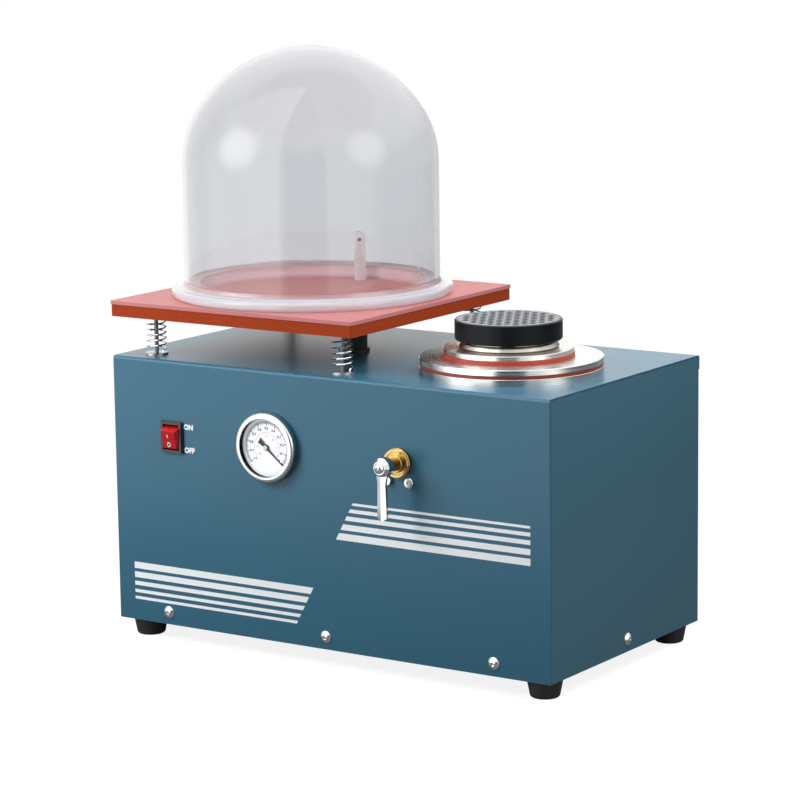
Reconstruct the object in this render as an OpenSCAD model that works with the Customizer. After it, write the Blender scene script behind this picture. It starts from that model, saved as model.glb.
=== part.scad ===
// Jewelry vacuum casting machine: a bench cabinet with a vacuum pump inside, a sprung investment
// table under a clear bell jar on the left, and a casting chamber with adapter plates on the right.
// Millimetres. The origin is on the floor under the middle of the whole footprint, +X to the
// right, +Y to the rear and +Z up. The controls are on the front, at -Y.

/* [Cabinet] */
// Width of the cabinet
cabinet_w = 490; // [470:5:540]
// Depth of the cabinet
cabinet_d = 275; // [275:1:320]
// Height of the cabinet without its feet
cabinet_h = 259; // [250:1:300]
// Thickness of the sheet steel
sheet_t = 1.5; // [1.2:0.1:2]
// Outer radius of the folds
fold_r = 3; // [2.5:0.5:5]
// Gap at the seams between panels
seam_gap = 0.4; // [0.3:0.1:0.8]
// Width of the flanges folded inwards
flange_w = 12; // [9:1:16]
// Height of the lip folded down over the rear panel
rear_lip_h = 13.5; // [8:0.5:20]
// Height of the upturned flanges of the base pan
pan_flange_h = 26; // [22:1:34]

/* [Cover screws] */
// Head diameter of the panel screws
screw_head_d = 12; // [9:0.5:14]
// Head height of the panel screws
screw_head_h = 3.4; // [2.5:0.1:4.5]
// Shank diameter of the panel screws
screw_d = 6; // [4:0.5:7]
// Shank length of the panel screws
screw_l = 9; // [7:1:12]
// Height of the panel screws above the lower edge
screw_row_h = 12; // [10:0.5:15]
// Distance between neighbouring screws of the front row
front_screw_pitch = 185; // [150:1:200]

/* [Feet] */
// Height of the feet
foot_h = 18; // [14:1:30]
// Diameter of a foot at its top
foot_top_d = 34; // [28:1:38]
// Diameter of a foot at its bottom
foot_bottom_d = 28; // [22:1:30]
// Rounding of the lower edge of a foot
foot_edge_r = 3; // [1:0.5:4]
// Distance of a foot's centre from the cabinet's side
foot_inset_x = 19.7; // [19:0.1:40]
// Distance of a foot's centre from the cabinet's front or rear
foot_inset_y = 22.6; // [22:0.1:40]
// Shank diameter of the foot screws
foot_screw_d = 5; // [4:0.5:6]

/* [Table] */
// Width of the table board
table_w = 280; // [274:1:290]
// Depth of the table board
table_d = 275; // [274:1:290]
// Thickness of the table board
board_t = 11.5; // [9:0.5:16]
// Thickness of the mat
mat_t = 3.5; // [2:0.5:6]
// How far the mat overhangs the board all round
mat_overhang = 0.8; // [0:0.1:2]
// Distance of the table's centre from the cabinet's left side
table_inset = 139; // [135:1:143]
// Height of the board's underside above the cabinet
table_lift = 38; // [34:1:46]
// Distance between the guide rods across the cabinet
post_pitch_x = 218; // [200:1:222]
// Distance between the guide rods along the cabinet's depth
post_pitch_y = 223; // [210:1:226]
// How far the rods' pattern lies right of the table's centre
post_shift_x = 3; // [0:0.5:4]
// Diameter of the guide rods
rod_d = 4; // [3:0.5:6]
// How far the table sinks when its springs are pressed
table_travel = 12; // [8:1:14]

/* [Table springs] */
// Outer diameter of a spring
spring_d = 20; // [17:0.5:22]
// Diameter of the spring wire
spring_wire_d = 1.5; // [1.2:0.1:2]
// Number of turns of a spring
spring_turns = 5.5; // [4:0.5:7]

/* [Stand pipe and table hose] */
// Outer diameter of the stand pipe
pipe_d = 12; // [10:0.5:13]
// Bore of the stand pipe
pipe_bore_d = 9; // [6:0.5:9]
// Height of the stand pipe above the mat
pipe_h = 48.5; // [35:0.5:70]
// Offset of the stand pipe from the table's centre, across
pipe_dx = -10; // [-20:1:10]
// Distance of the stand pipe in front of the table's rear edge
pipe_inset = 40.5; // [39.5:1:57.5]
// Outer diameter of the black hose under the table
hose_d = 26; // [20:1:30]
// Wall of the black hose under the table
hose_wall = 4; // [3:0.5:5]
// Offset of the hose from the table's centre, across
hose_dx = 48; // [40:1:56]
// Thickness of the black plate under the board
manifold_t = 6; // [5:0.5:8]

/* [Bell jar] */
// Height of the bell jar
jar_h = 240; // [200:1:300]
// Outer diameter of the jar's body
jar_d = 250; // [246:1:256]
// Wall of the jar
jar_wall = 5; // [4:0.5:7]
// Outer diameter of the jar's flange
jar_flange_d = 273; // [266:1:276]
// Inner diameter of the jar's mouth
jar_mouth_d = 218; // [214:1:226]
// Thickness of the flange at its rim
jar_flange_t = 10; // [7:0.5:14]
// Height of the bead where the wall meets the flange
jar_bead_h = 3.5; // [2:0.5:5]
// Radius of the jar's shoulder
jar_shoulder_r = 95; // [80:1:100]
// Radius of the jar's crown
jar_crown_r = 130; // [126:1:150]

/* [Casting chamber] */
// Distance of the chamber's centre from the cabinet's right side
chamber_inset = 107.5; // [95:0.5:111]
// Distance of the chamber's centre behind the cabinet's front
chamber_setback = 110.5; // [109:0.5:135]
// Outer diameter of the flange ring and of the adapter plate
ring_d = 171; // [166:1:176]
// Thickness of the flange ring
ring_t = 6.5; // [5:0.5:9]
// Thickness of the gasket on the flange ring
ring_gasket_t = 3.2; // [2:0.2:5]
// Thickness of the adapter plate
adapter_t = 5.5; // [4.5:0.5:8]
// Bore of the adapter plate
adapter_bore_d = 100; // [96:1:104]
// Outer diameter of the chamber's can
can_d = 130; // [124:1:134]
// Wall of the can
can_wall = 1.5; // [1.2:0.1:2.5]
// Depth of the can below the flange ring's top
can_h = 158; // [130:1:162]
// Outer diameter of the gasket on the adapter plate
flask_gasket_d = 122.5; // [118:0.5:126]
// Thickness of the gasket on the adapter plate
flask_gasket_t = 4; // [3:0.5:6]
// Outer diameter of the flask plate
flask_plate_d = 121; // [116:1:124]
// Thickness of the flask plate
flask_plate_t = 4.4; // [4:0.2:7]
// Bore of the flask plate
flask_bore_d = 76; // [66:1:82]
// How far left of the chamber's middle the flask plate is put down
flask_shift_x = 2; // [0:0.5:4]
// How far in front of the chamber's middle the flask plate is put down
flask_shift_y = 1.5; // [0:0.5:4]

/* [Closing plug] */
// Diameter of the black cap
cap_d = 100; // [96:1:106]
// Height of the black cap
cap_h = 19; // [14:1:26]
// Diameter of the polished collar under the cap
collar_d = 94.5; // [90:0.5:95]
// Height of the polished collar
collar_h = 7.2; // [5:0.2:10]
// Distance between the hexagonal pockets in the cap
pocket_pitch = 9; // [8:0.5:12]
// Width of a pocket across its flats
pocket_w = 6.4; // [5:0.2:7]
// Depth of a pocket
pocket_depth = 1.4; // [0.8:0.2:2]

/* [Controls] */
// Height of the gauge and valve axes above the cabinet's lower edge
control_h = 187; // [180:1:200]
// Distance of the switch from the cabinet's left side
switch_inset = 70; // [65:1:95]
// Height of the switch's centre above the cabinet's lower edge
switch_h = 185.5; // [170:0.5:200]
// Width of the switch's bezel
switch_w = 26; // [24:0.5:28]
// Height of the switch's bezel
switch_hh = 31; // [28:0.5:34]
// Half of the rocker's swing
rocker_tilt = 12; // [6:0.5:13]
// Position of the gauge across the cabinet
gauge_x = -61.5; // [-70:0.5:-50]
// Diameter of the gauge's bezel
gauge_d = 67; // [64:1:72]
// How far the bezel stands out
gauge_proud = 9; // [8.5:0.5:12]
// Diameter of the gauge's case
gauge_case_d = 59; // [56:1:60]
// Depth of the gauge's case behind the panel
gauge_case_l = 30; // [26:1:31]
// Distance of the valve left of the chamber's centre
valve_offset = 52.2; // [50:0.1:55]
// Diameter of the valve's brass collar
valve_collar_d = 27.5; // [25:0.5:30]
// Thickness of the valve's brass collar
valve_collar_t = 7; // [6:0.5:9]
// Diameter of the valve's neck
valve_neck_d = 13; // [12:0.5:15]
// Distance of the lever's hub from the panel
lever_reach = 22; // [20:0.5:26]
// Length of the lever from its axis to its tip
lever_l = 49; // [40:1:60]
// Diameter of the lever's hub
lever_hub_d = 18; // [16:0.5:21]
// Thickness of the lever's hub
lever_hub_t = 11; // [8:0.5:12]
// Distance of the bracket screws from each other
bracket_screw_pitch = 24.3; // [22:0.1:28]
// Distance of the bracket screws below the valve's axis
bracket_screw_drop = 17.5; // [17:0.5:20]

/* [Pump and motor] */
// Diameter of the motor's housing over its fins
motor_d = 112; // [100:1:116]
// Length of the motor's housing
motor_l = 118; // [100:1:120]
// Number of cooling fins round the motor
fin_count = 28; // [16:2:36]
// Length of the pump's block
pump_l = 96; // [80:1:100]
// Width of the pump's block
pump_w = 100; // [90:1:106]
// Height of the pump's block
pump_h = 128; // [110:1:134]
// Distance of the pump's axis behind the cabinet's middle
pump_dy = 20; // [18:1:24]
// Height of the motor's feet
pump_foot_h = 14; // [12:1:18]
// Outer diameter of the suction hoses
suction_d = 13; // [11:0.5:14]
// Wall of the suction hoses
suction_wall = 2; // [1.5:0.25:2.5]

/* [Rear panel] */
// Rows of louvres in each field
louvre_rows = 7; // [3:1:8]
// Length of a louvre
louvre_l = 70; // [40:1:80]
// Distance between louvres
louvre_pitch = 13; // [12:0.5:16]
// Half height of a louvre
louvre_r = 4; // [3:0.5:4.5]

/* [Hidden] */
$fn = 48;

// clearances
fit_gap = 0.1;      // round pieces of one body, one in the other
move_gap = 0.3;     // pieces of different bodies
run_gap = 0.05;     // shafts in their bores

// cabinet faces
bottom_z = foot_h;
top_z = foot_h + cabinet_h;
lever_screw_head_h = 4;
louvre_wall = 1;
front_reach = lever_reach + lever_hub_t + lever_screw_head_h;
rear_reach = louvre_r + louvre_wall - sheet_t - fit_gap;
mid_y = (front_reach - rear_reach) / 2;
front_y = mid_y - cabinet_d / 2;
back_y = mid_y + cabinet_d / 2;
side_x = cabinet_w / 2;
panel_in_y = front_y + sheet_t;
rear_out_y = back_y - sheet_t - fit_gap;
rear_in_y = rear_out_y - sheet_t;
inner_x = side_x - sheet_t - seam_gap;
pan_front_y = panel_in_y + seam_gap;
pan_rear_y = rear_in_y - seam_gap;
pan_top_z = bottom_z + sheet_t;
flange_t = 1.2;
screw_z = bottom_z + screw_row_h;
nut_boss_l = 5;

// table stack
board_z = top_z + table_lift;
mat_z = board_z + board_t;
jar_z = mat_z + mat_t;
table_x = -side_x + table_inset;
post_x = table_x + post_shift_x;
bush_flange_t = 2;
bush_flange_d = spring_d + 2;
bush_l = 9;
bush_neck_d = rod_d + 6;
rod_nut_t = 4;
spring_z0 = top_z + bush_flange_t;
rod_washer_t = 1.5;
spring_z1 = board_z - rod_washer_t;
rod_end_z = top_z - sheet_t - bush_l - rod_nut_t - 4;
manifold_z = board_z - manifold_t;
manifold_edge = 70;
pipe_x = table_x + pipe_dx;
pipe_y = mid_y + table_d / 2 - pipe_inset;
hose_x = table_x + hose_dx;
hose_y = mid_y;
bulkhead_t = 3;
bulkhead_l = 14;
bulkhead_neck_d = hose_d - 2 * hose_wall;

// jar profile: the shoulder's centre, then the crown's centre, above the mat
jar_shoulder_x = jar_d / 2 - jar_shoulder_r;
jar_crown_drop = sqrt(pow(jar_crown_r - jar_shoulder_r, 2) - pow(jar_shoulder_x, 2));
jar_crown_h = jar_h - jar_crown_r;
jar_shoulder_h = jar_crown_h + jar_crown_drop;

// chamber stack
chamber_x = side_x - chamber_inset;
chamber_y = front_y + chamber_setback;
ring_top_z = top_z + ring_t;
gasket_top_z = ring_top_z + ring_gasket_t;
adapter_top_z = gasket_top_z + adapter_t;
flask_z = adapter_top_z + flask_gasket_t;
flask_top_z = flask_z + flask_plate_t;
cap_z = flask_top_z + collar_h;
can_z = ring_top_z - can_h;
spigot_drop = flask_plate_t + 1.5;
can_port_l = 15;
can_port_z = can_z - can_port_l;

// controls
switch_x = -side_x + switch_inset;
valve_x = chamber_x - valve_offset;
control_z = bottom_z + control_h;
switch_z = bottom_z + switch_h;
gauge_face_y = front_y - gauge_proud;
gauge_port_y = front_y + gauge_case_l * 0.75;
gauge_port_z = control_z - gauge_case_d / 2 - 14;
hub_y = front_y - lever_reach;
valve_block_w = 34;
valve_block_l = 48;
valve_block_y = panel_in_y + 2 + fit_gap;
valve_rear_y = valve_block_y + valve_block_l;
plug_bore_r = 8;
stem_r = 4;
bracket_screw_d = 5;
port_l = 12;
port_r = suction_d / 2 - suction_wall;
line_y_table = valve_rear_y - 12;
line_y_chamber = valve_block_y + 26;
gauge_port_r = 2.5;

// pump and motor
pump_y = mid_y + pump_dy;
motor_z = pan_top_z + pump_foot_h + pump_h / 2;
motor_x0 = -inner_x + 28;
motor_x1 = motor_x0 + motor_l;
pump_x0 = motor_x1 + 2;
pump_x1 = pump_x0 + pump_l;
fin_h = 5;
oil_glass_r = 9;
cowl_l = 16;
shaft_r = 6;
pump_port_z = motor_z;

// rear panel
louvre_field_x = 150;
louvre_z0 = bottom_z + 110;
inlet_x = -side_x + 75;
inlet_z = bottom_z + 60;
inlet_w = 27;
inlet_h = 19.8;
inlet_flange_w = 50;
inlet_screw_pitch = 40;
inlet_screw_d = 3;
inlet_out_y = rear_out_y + 3;
inlet_depth = 15;
rear_screw_d = 4;
rear_screw_x = side_x - sheet_t - flange_w / 2 - 1;
rear_screw_zs = [bottom_z + pan_flange_h + 24, top_z - 28];

// ---- shapes used by several pieces ----

// a rectangle from [x0, y0] to [x1, y1] whose upper corners are rounded
module rounded_top(x0, x1, y0, y1, r) {
    translate([x0, y0]) square([x1 - x0, y1 - y0 - r]);
    translate([x0 + r, y0]) square([x1 - x0 - 2 * r, y1 - y0]);
    for (x = [x0 + r, x1 - r])
        translate([x, y1 - r]) circle(r);
}

// a rectangle with four rounded corners, centred
module rounded_rect(w, h, r) {
    square([w - 2 * r, h], center = true);
    square([w, h - 2 * r], center = true);
    for (x = [-w / 2 + r, w / 2 - r], y = [-h / 2 + r, h / 2 - r])
        translate([x, y]) circle(r);
}

// a slot with round ends along X, centred
module slot(l, r) {
    square([l - 2 * r, 2 * r], center = true);
    for (x = [-l / 2 + r, l / 2 - r])
        translate([x, 0]) circle(r);
}

// stands a 2D outline drawn in X and Z up against the front, from y0 towards the rear
module upright(y0, t) {
    translate([0, y0 + t, 0]) rotate([90, 0, 0]) linear_extrude(t) children();
}

// a round bar along +Y from y0, at x and z
module bar_y(x, z, y0, l, r) {
    translate([x, y0 + l, z]) rotate([90, 0, 0]) cylinder(h = l, r = r);
}

// a round bar along +X from x0, at y and z
module bar_x(y, z, x0, l, r) {
    translate([x0, y, z]) rotate([0, 90, 0]) cylinder(h = l, r = r);
}

// button head screw standing on z = 0 with its shank below, hexagonal socket in the domed head
module button_screw(head_d, head_h, shank_d, shank_l, socket_w) {
    dome_r = (pow(head_d / 2, 2) + pow(head_h * 0.8, 2)) / (2 * head_h * 0.8);
    difference() {
        union() {
            rotate_extrude()
                intersection() {
                    translate([0, head_h - dome_r]) circle(dome_r, $fn = 96);
                    square([head_d / 2, head_h]);
                }
            translate([0, 0, -shank_l]) cylinder(h = shank_l, d = shank_d);
        }
        translate([0, 0, head_h * 0.4])
            cylinder(h = head_h, d = socket_w / cos(30), $fn = 6);
    }
}

// socket head cap screw standing on z = 0 with its shank below
module cap_screw(head_d, head_h, shank_d, shank_l, socket_w) {
    difference() {
        union() {
            cylinder(h = head_h - 0.5, d = head_d);
            translate([0, 0, head_h - 0.5]) cylinder(h = 0.5, d1 = head_d, d2 = head_d - 1);
            translate([0, 0, -shank_l]) cylinder(h = shank_l, d = shank_d);
        }
        translate([0, 0, head_h * 0.45])
            cylinder(h = head_h, d = socket_w / cos(30), $fn = 6);
    }
}

module at_rods() {
    for (sx = [-1, 1], sy = [-1, 1])
        translate([post_x + sx * post_pitch_x / 2, mid_y + sy * post_pitch_y / 2, 0]) children();
}

module at_feet() {
    for (sx = [-1, 1], sy = [-1, 1])
        translate([sx * (side_x - foot_inset_x), mid_y + sy * (cabinet_d / 2 - foot_inset_y), 0])
            children();
}

module at_chamber(z) {
    translate([chamber_x, chamber_y, z]) children();
}

module at_flask(z) {
    translate([chamber_x - flask_shift_x, chamber_y - flask_shift_y, z]) children();
}

// flat ring standing on z = 0 with a small chamfer on its upper outer edge
module turned_ring(outer_d, bore_d, t, chamfer) {
    rotate_extrude($fn = 96)
        polygon([[bore_d / 2, 0], [outer_d / 2, 0], [outer_d / 2, t - chamfer],
            [outer_d / 2 - chamfer, t], [bore_d / 2, t]]);
}

// ---- tubes with square bends ----

function unit(v) = v / norm(v);
function side_of(d) = abs(d.z) > 0.5 ? [1, 0, 0] : [0, 0, 1];
function frame_of(x, y, z, p) = [[x.x, y.x, z.x, p.x], [x.y, y.y, z.y, p.y], [x.z, y.z, z.z, p.z]];

// solid run through points joined at right angles, with round bends of radius bend
module solid_run(points, r, bend) {
    last = len(points) - 1;
    for (i = [0:last - 1]) {
        d = unit(points[i + 1] - points[i]);
        cut0 = i == 0 ? 0 : bend;
        cut1 = i == last - 1 ? 0 : bend;
        l = norm(points[i + 1] - points[i]) - cut0 - cut1;
        x = unit(cross(side_of(d), d));
        multmatrix(frame_of(x, cross(d, x), d, points[i] + d * cut0)) cylinder(h = l, r = r);
    }
    for (i = [1:1:last - 1]) {
        u = unit(points[i] - points[i - 1]);
        v = unit(points[i + 1] - points[i]);
        multmatrix(frame_of(-v, u, cross(-v, u), points[i] - u * bend + v * bend))
            rotate_extrude(angle = 90) translate([bend, 0]) circle(r);
    }
}

module hose_run(points, outer_d, wall, bend) {
    difference() {
        solid_run(points, outer_d / 2, bend);
        solid_run(points, outer_d / 2 - wall, bend);
    }
}

// ---- wound springs ----

spring_side_count = 6;
spring_steps_per_turn = 8;
spring_bend_steps = 3;
spring_bend_r = 1.2;
spring_coil_r = (spring_d - spring_wire_d) / 2;
spring_low_z = spring_wire_d + spring_bend_r;
spring_len = spring_z1 - spring_z0;
spring_pitch = (spring_len - 2 * spring_low_z) / spring_turns;
spring_bend_turn = spring_bend_r / spring_coil_r * 180 / PI;
spring_steps = round(spring_turns * spring_steps_per_turn);

// one ring of the wire: [angle round the axis, height, tilt of the wire from upright]
function spring_foot() = [for (i = [0:spring_bend_steps])
    let (t = 90 * i / spring_bend_steps)
    [-spring_bend_turn * cos(t), spring_wire_d + spring_bend_r * sin(t), t]];
function spring_coil() = [for (i = [1:spring_steps - 1])
    [360 * i / spring_steps_per_turn, spring_low_z + spring_pitch * i / spring_steps_per_turn,
        90 - atan2(spring_pitch, 2 * PI * spring_coil_r)]];
function spring_head() = [for (i = [spring_bend_steps:-1:0])
    let (t = 90 * i / spring_bend_steps)
    [360 * spring_turns + spring_bend_turn * cos(t),
        spring_len - spring_wire_d - spring_bend_r * sin(t), t]];
spring_rows = concat([[-spring_bend_turn, 0, 0]], spring_foot(), spring_coil(), spring_head(),
    [[360 * spring_turns + spring_bend_turn, spring_len, 0]]);

function wire_centre(s) = [spring_coil_r * cos(s[0]), spring_coil_r * sin(s[0]), s[1]];
function wire_ring(s) =
    let (out = [cos(s[0]), sin(s[0]), 0])
    let (along = [-sin(s[0]) * sin(s[2]), cos(s[0]) * sin(s[2]), cos(s[2])])
    let (across = cross(along, out))
    [for (k = [0:spring_side_count - 1])
        wire_centre(s) + spring_wire_d / 2 * (cos(360 * k / spring_side_count) * out
            + sin(360 * k / spring_side_count) * across)];

module wound_spring() {
    n = spring_side_count;
    rows = len(spring_rows);
    points = [for (s = spring_rows) each wire_ring(s)];
    skin = [for (i = [0:rows - 2], k = [0:n - 1])
        let (a = i * n + k, b = i * n + (k + 1) % n)
        each [[a, b, b + n], [a, b + n, a + n]]];
    foot_cap = [for (k = [1:n - 2]) [0, k + 1, k]];
    head_cap = [for (k = [1:n - 2]) [(rows - 1) * n, (rows - 1) * n + k, (rows - 1) * n + k + 1]];
    polyhedron(points, [for (f = concat(skin, foot_cap, head_cap)) [f[2], f[1], f[0]]]);
}

// least distance between stretches of wire at least half a turn apart, less one wire diameter
spring_gaps = [for (i = [0:len(spring_rows) - 1], j = [i + 1:1:len(spring_rows) - 1])
    if (abs(spring_rows[j][0] - spring_rows[i][0]) > 180)
        norm(wire_centre(spring_rows[j]) - wire_centre(spring_rows[i])) - spring_wire_d];
echo("least gap of a table spring to itself, mm", min(spring_gaps));

// ---- cabinet ----

module cover_outline(inset) {
    rounded_top(front_y + inset, back_y - inset, bottom_z - inset, top_z - inset, fold_r - inset);
}

module cabinet_cover() {
    color("#4a6e84")
    difference() {
        translate([-side_x, 0, 0]) rotate([90, 0, 90]) linear_extrude(cabinet_w)
            difference() {
                cover_outline(0);
                cover_outline(sheet_t);
                translate([back_y - sheet_t - 1, bottom_z - 1])
                    square([sheet_t + 2, cabinet_h - rear_lip_h + 1]);
                translate([panel_in_y, bottom_z - 1]) square([cabinet_d - 2 * sheet_t, 2]);
            }
        at_chamber(top_z - 10) cylinder(h = 20, d = can_d + 1);
        at_rods() translate([0, 0, top_z - 10]) cylinder(h = 20, d = bush_neck_d + 2 * fit_gap);
        translate([hose_x, hose_y, top_z - 10]) cylinder(h = 20, d = bulkhead_neck_d + 2 * fit_gap);
        translate([switch_x, 0, switch_z]) upright(front_y - 5, 10)
            rounded_rect(switch_w - 3.4, switch_hh - 3.4, 1);
        bar_y(gauge_x, control_z, front_y - 5, 10, gauge_case_d / 2 + 0.5);
        bar_y(valve_x, control_z, front_y - 5, 10, valve_neck_d / 2 + 0.5);
        for (s = [-1, 1])
            bar_y(valve_x + s * bracket_screw_pitch / 2, control_z - bracket_screw_drop,
                front_y - 5, 10, bracket_screw_d / 2 + fit_gap);
        for (i = [-1:1])
            bar_y(i * front_screw_pitch, screw_z, front_y - 5, 10, screw_d / 2 + fit_gap);
    }
}

module side_panel() {
    y0 = panel_in_y + seam_gap;
    y1 = rear_out_y;
    z1 = top_z - sheet_t - seam_gap;
    flange_z = bottom_z + pan_flange_h + 2;
    color("#3f5a6a")
    difference() {
        union() {
            translate([side_x - sheet_t, 0, 0]) rotate([90, 0, 90]) linear_extrude(sheet_t)
                rounded_top(y0, y1, bottom_z, z1, fold_r - sheet_t);
            translate([side_x - sheet_t - flange_w, y0, flange_z])
                cube([flange_w + fit_gap, flange_t, z1 - fold_r - flange_z]);
            translate([side_x - sheet_t - flange_w, y0 + fold_r, z1 - flange_t])
                cube([flange_w + fit_gap, rear_in_y - fit_gap - fold_r - y0, flange_t]);
            translate([side_x - sheet_t - flange_w, rear_in_y - fit_gap - flange_t, flange_z])
                cube([flange_w + fit_gap, flange_t, z1 - fold_r - flange_z]);
        }
        bar_x(mid_y, screw_z, side_x - 10, 20, screw_d / 2 + fit_gap);
        for (z = rear_screw_zs)
            bar_y(rear_screw_x, z, rear_in_y - 8, 16, rear_screw_d / 2 + fit_gap);
    }
}

module side_panel_right() {
    side_panel();
}

module side_panel_left() {
    mirror([1, 0, 0]) side_panel();
}

// pressed louvres stand out of the rear panel and open downwards
module at_louvres() {
    for (sx = [-1, 1], i = [0:louvre_rows - 1])
        translate([sx * louvre_field_x / 2, 0, louvre_z0 + i * louvre_pitch]) children();
}

module capsule(r) {
    span = louvre_l - 2 * louvre_r;
    rotate([0, 90, 0]) rotate_extrude() intersection() {
        union() {
            square([2 * r, span], center = true);
            for (y = [-span / 2, span / 2]) translate([0, y]) circle(r);
        }
        translate([0, -louvre_l]) square([2 * r, 2 * louvre_l]);
    }
}

module louvre_hood() {
    r = louvre_r + louvre_wall;
    intersection() {
        difference() {
            capsule(r);
            capsule(louvre_r);
        }
        translate([-louvre_l, -louvre_wall / 2, 0]) cube([2 * louvre_l, 2 * r, 2 * r]);
    }
}

module rear_panel() {
    z1 = top_z - fold_r - seam_gap;
    color("#4a6e84")
    difference() {
        union() {
            translate([-inner_x, rear_in_y, bottom_z]) cube([2 * inner_x, sheet_t, z1 - bottom_z]);
            at_louvres() translate([0, rear_out_y, 0]) louvre_hood();
        }
        at_louvres() upright(rear_in_y - 1, sheet_t + 1 + louvre_wall / 2)
            translate([0, (louvre_r - 0.5) / 2])
                square([louvre_l - 2 * louvre_r, louvre_r - 0.5], center = true);
        translate([inlet_x, 0, inlet_z]) upright(rear_in_y - 5, 10)
            rounded_rect(inlet_w + 0.6, inlet_h + 0.6, 2);
        for (s = [-1, 1])
            bar_y(inlet_x + s * inlet_screw_pitch / 2, inlet_z, rear_in_y - 5, 10,
                inlet_screw_d / 2 + fit_gap);
        for (s = [-1, 1], z = rear_screw_zs)
            bar_y(s * rear_screw_x, z, rear_in_y - 5, 10, rear_screw_d / 2 + fit_gap);
        for (s = [-1, 1])
            bar_y(s * front_screw_pitch, screw_z, rear_in_y - 5, 10, screw_d / 2 + fit_gap);
    }
}

// shallow pan with upturned flanges and pressed nuts for the panel screws
module base_pan() {
    boss_r = screw_d / 2 + 2.5;
    color("#8a9094")
    difference() {
        union() {
            difference() {
                translate([-inner_x, pan_front_y, bottom_z])
                    cube([2 * inner_x, pan_rear_y - pan_front_y, pan_flange_h]);
                translate([-inner_x + sheet_t, pan_front_y + sheet_t, pan_top_z])
                    cube([2 * (inner_x - sheet_t), pan_rear_y - pan_front_y - 2 * sheet_t,
                        pan_flange_h]);
            }
            for (i = [-1:1])
                bar_y(i * front_screw_pitch, screw_z, pan_front_y, sheet_t + nut_boss_l, boss_r);
            for (s = [-1, 1]) {
                bar_y(s * front_screw_pitch, screw_z, pan_rear_y - sheet_t - nut_boss_l,
                    sheet_t + nut_boss_l, boss_r);
                bar_x(mid_y, screw_z, s > 0 ? inner_x - sheet_t - nut_boss_l : -inner_x,
                    sheet_t + nut_boss_l, boss_r);
            }
        }
        for (i = [-1:1])
            bar_y(i * front_screw_pitch, screw_z, pan_front_y - 5, 20, screw_d / 2 + fit_gap);
        for (s = [-1, 1]) {
            bar_y(s * front_screw_pitch, screw_z, pan_rear_y - 15, 20, screw_d / 2 + fit_gap);
            bar_x(mid_y, screw_z, s > 0 ? inner_x - 15 : -inner_x - 5, 20, screw_d / 2 + fit_gap);
        }
        at_feet() translate([0, 0, bottom_z - 5]) cylinder(h = 20, d = foot_screw_d + 2 * fit_gap);
        for (x = pump_screw_xs, s = [-1, 1])
            translate([x, pump_y + s * pump_screw_dy, bottom_z - 5])
                cylinder(h = 20, d = pump_screw_d + 2 * fit_gap);
        for (i = [0:5], s = [-1, 1])
            translate([chamber_x - 45 + i * 18, chamber_y + 20 + s * 26, bottom_z - 5])
                rotate(90) linear_extrude(20) slot(40, 2.5);
    }
}

module cover_screws() {
    color("silver")
    for (i = [-1:1])
        translate([i * front_screw_pitch, front_y, screw_z]) rotate([90, 0, 0])
            button_screw(screw_head_d, screw_head_h, screw_d, screw_l, 4);
}

module side_screws() {
    color("silver")
    for (s = [-1, 1])
        translate([s * side_x, mid_y, screw_z]) rotate([0, s * 90, 0])
            button_screw(screw_head_d, screw_head_h, screw_d, screw_l, 4);
}

module rear_screws() {
    color("silver") {
        for (s = [-1, 1], z = rear_screw_zs)
            translate([s * rear_screw_x, rear_out_y, z]) rotate([-90, 0, 0])
                button_screw(8, 2.4, rear_screw_d, 8, 2.5);
        for (s = [-1, 1])
            translate([s * front_screw_pitch, rear_out_y, screw_z]) rotate([-90, 0, 0])
                button_screw(screw_head_d, screw_head_h, screw_d, screw_l, 4);
        for (s = [-1, 1])
            translate([inlet_x + s * inlet_screw_pitch / 2, inlet_out_y, inlet_z])
                rotate([-90, 0, 0]) button_screw(5.6, 1.8, inlet_screw_d, 8, 2);
    }
}

foot_sink_d = 14;
foot_sink_h = foot_h * 0.5;
foot_screw_head_h = 3;

module rubber_feet() {
    slope = (foot_top_d - foot_bottom_d) / 2 / foot_h;
    color("#1e1c1a")
    at_feet() difference() {
        union() {
            translate([0, 0, foot_edge_r])
                cylinder(h = foot_h - foot_edge_r, d1 = foot_bottom_d, d2 = foot_top_d);
            rotate_extrude() {
                square([foot_bottom_d / 2 - foot_edge_r, foot_edge_r]);
                intersection() {
                    translate([foot_bottom_d / 2 - foot_edge_r, foot_edge_r]) circle(foot_edge_r);
                    square([foot_top_d, foot_edge_r]);
                }
            }
        }
        translate([0, 0, -1]) cylinder(h = foot_sink_h + 1, d = foot_sink_d);
        translate([0, 0, -1]) cylinder(h = foot_h + 2, d = foot_screw_d + 2 * fit_gap);
    }
}

module foot_screws() {
    color("silver")
    at_feet() {
        translate([0, 0, foot_sink_h]) rotate([180, 0, 0])
            button_screw(9.5, foot_screw_head_h, foot_screw_d,
                foot_h - foot_sink_h + sheet_t + 6, 3);
        translate([0, 0, pan_top_z]) difference() {
            cylinder(h = 4, d = 9.2, $fn = 6);
            translate([0, 0, -1]) cylinder(h = 6, d = foot_screw_d - 0.2);
        }
    }
}

// ---- switch ----

pivot_y = front_y + 3;
rocker_w = switch_w - 7.4;
rocker_h = switch_hh - 7;
rocker_bore_r = 1.5;

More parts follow.
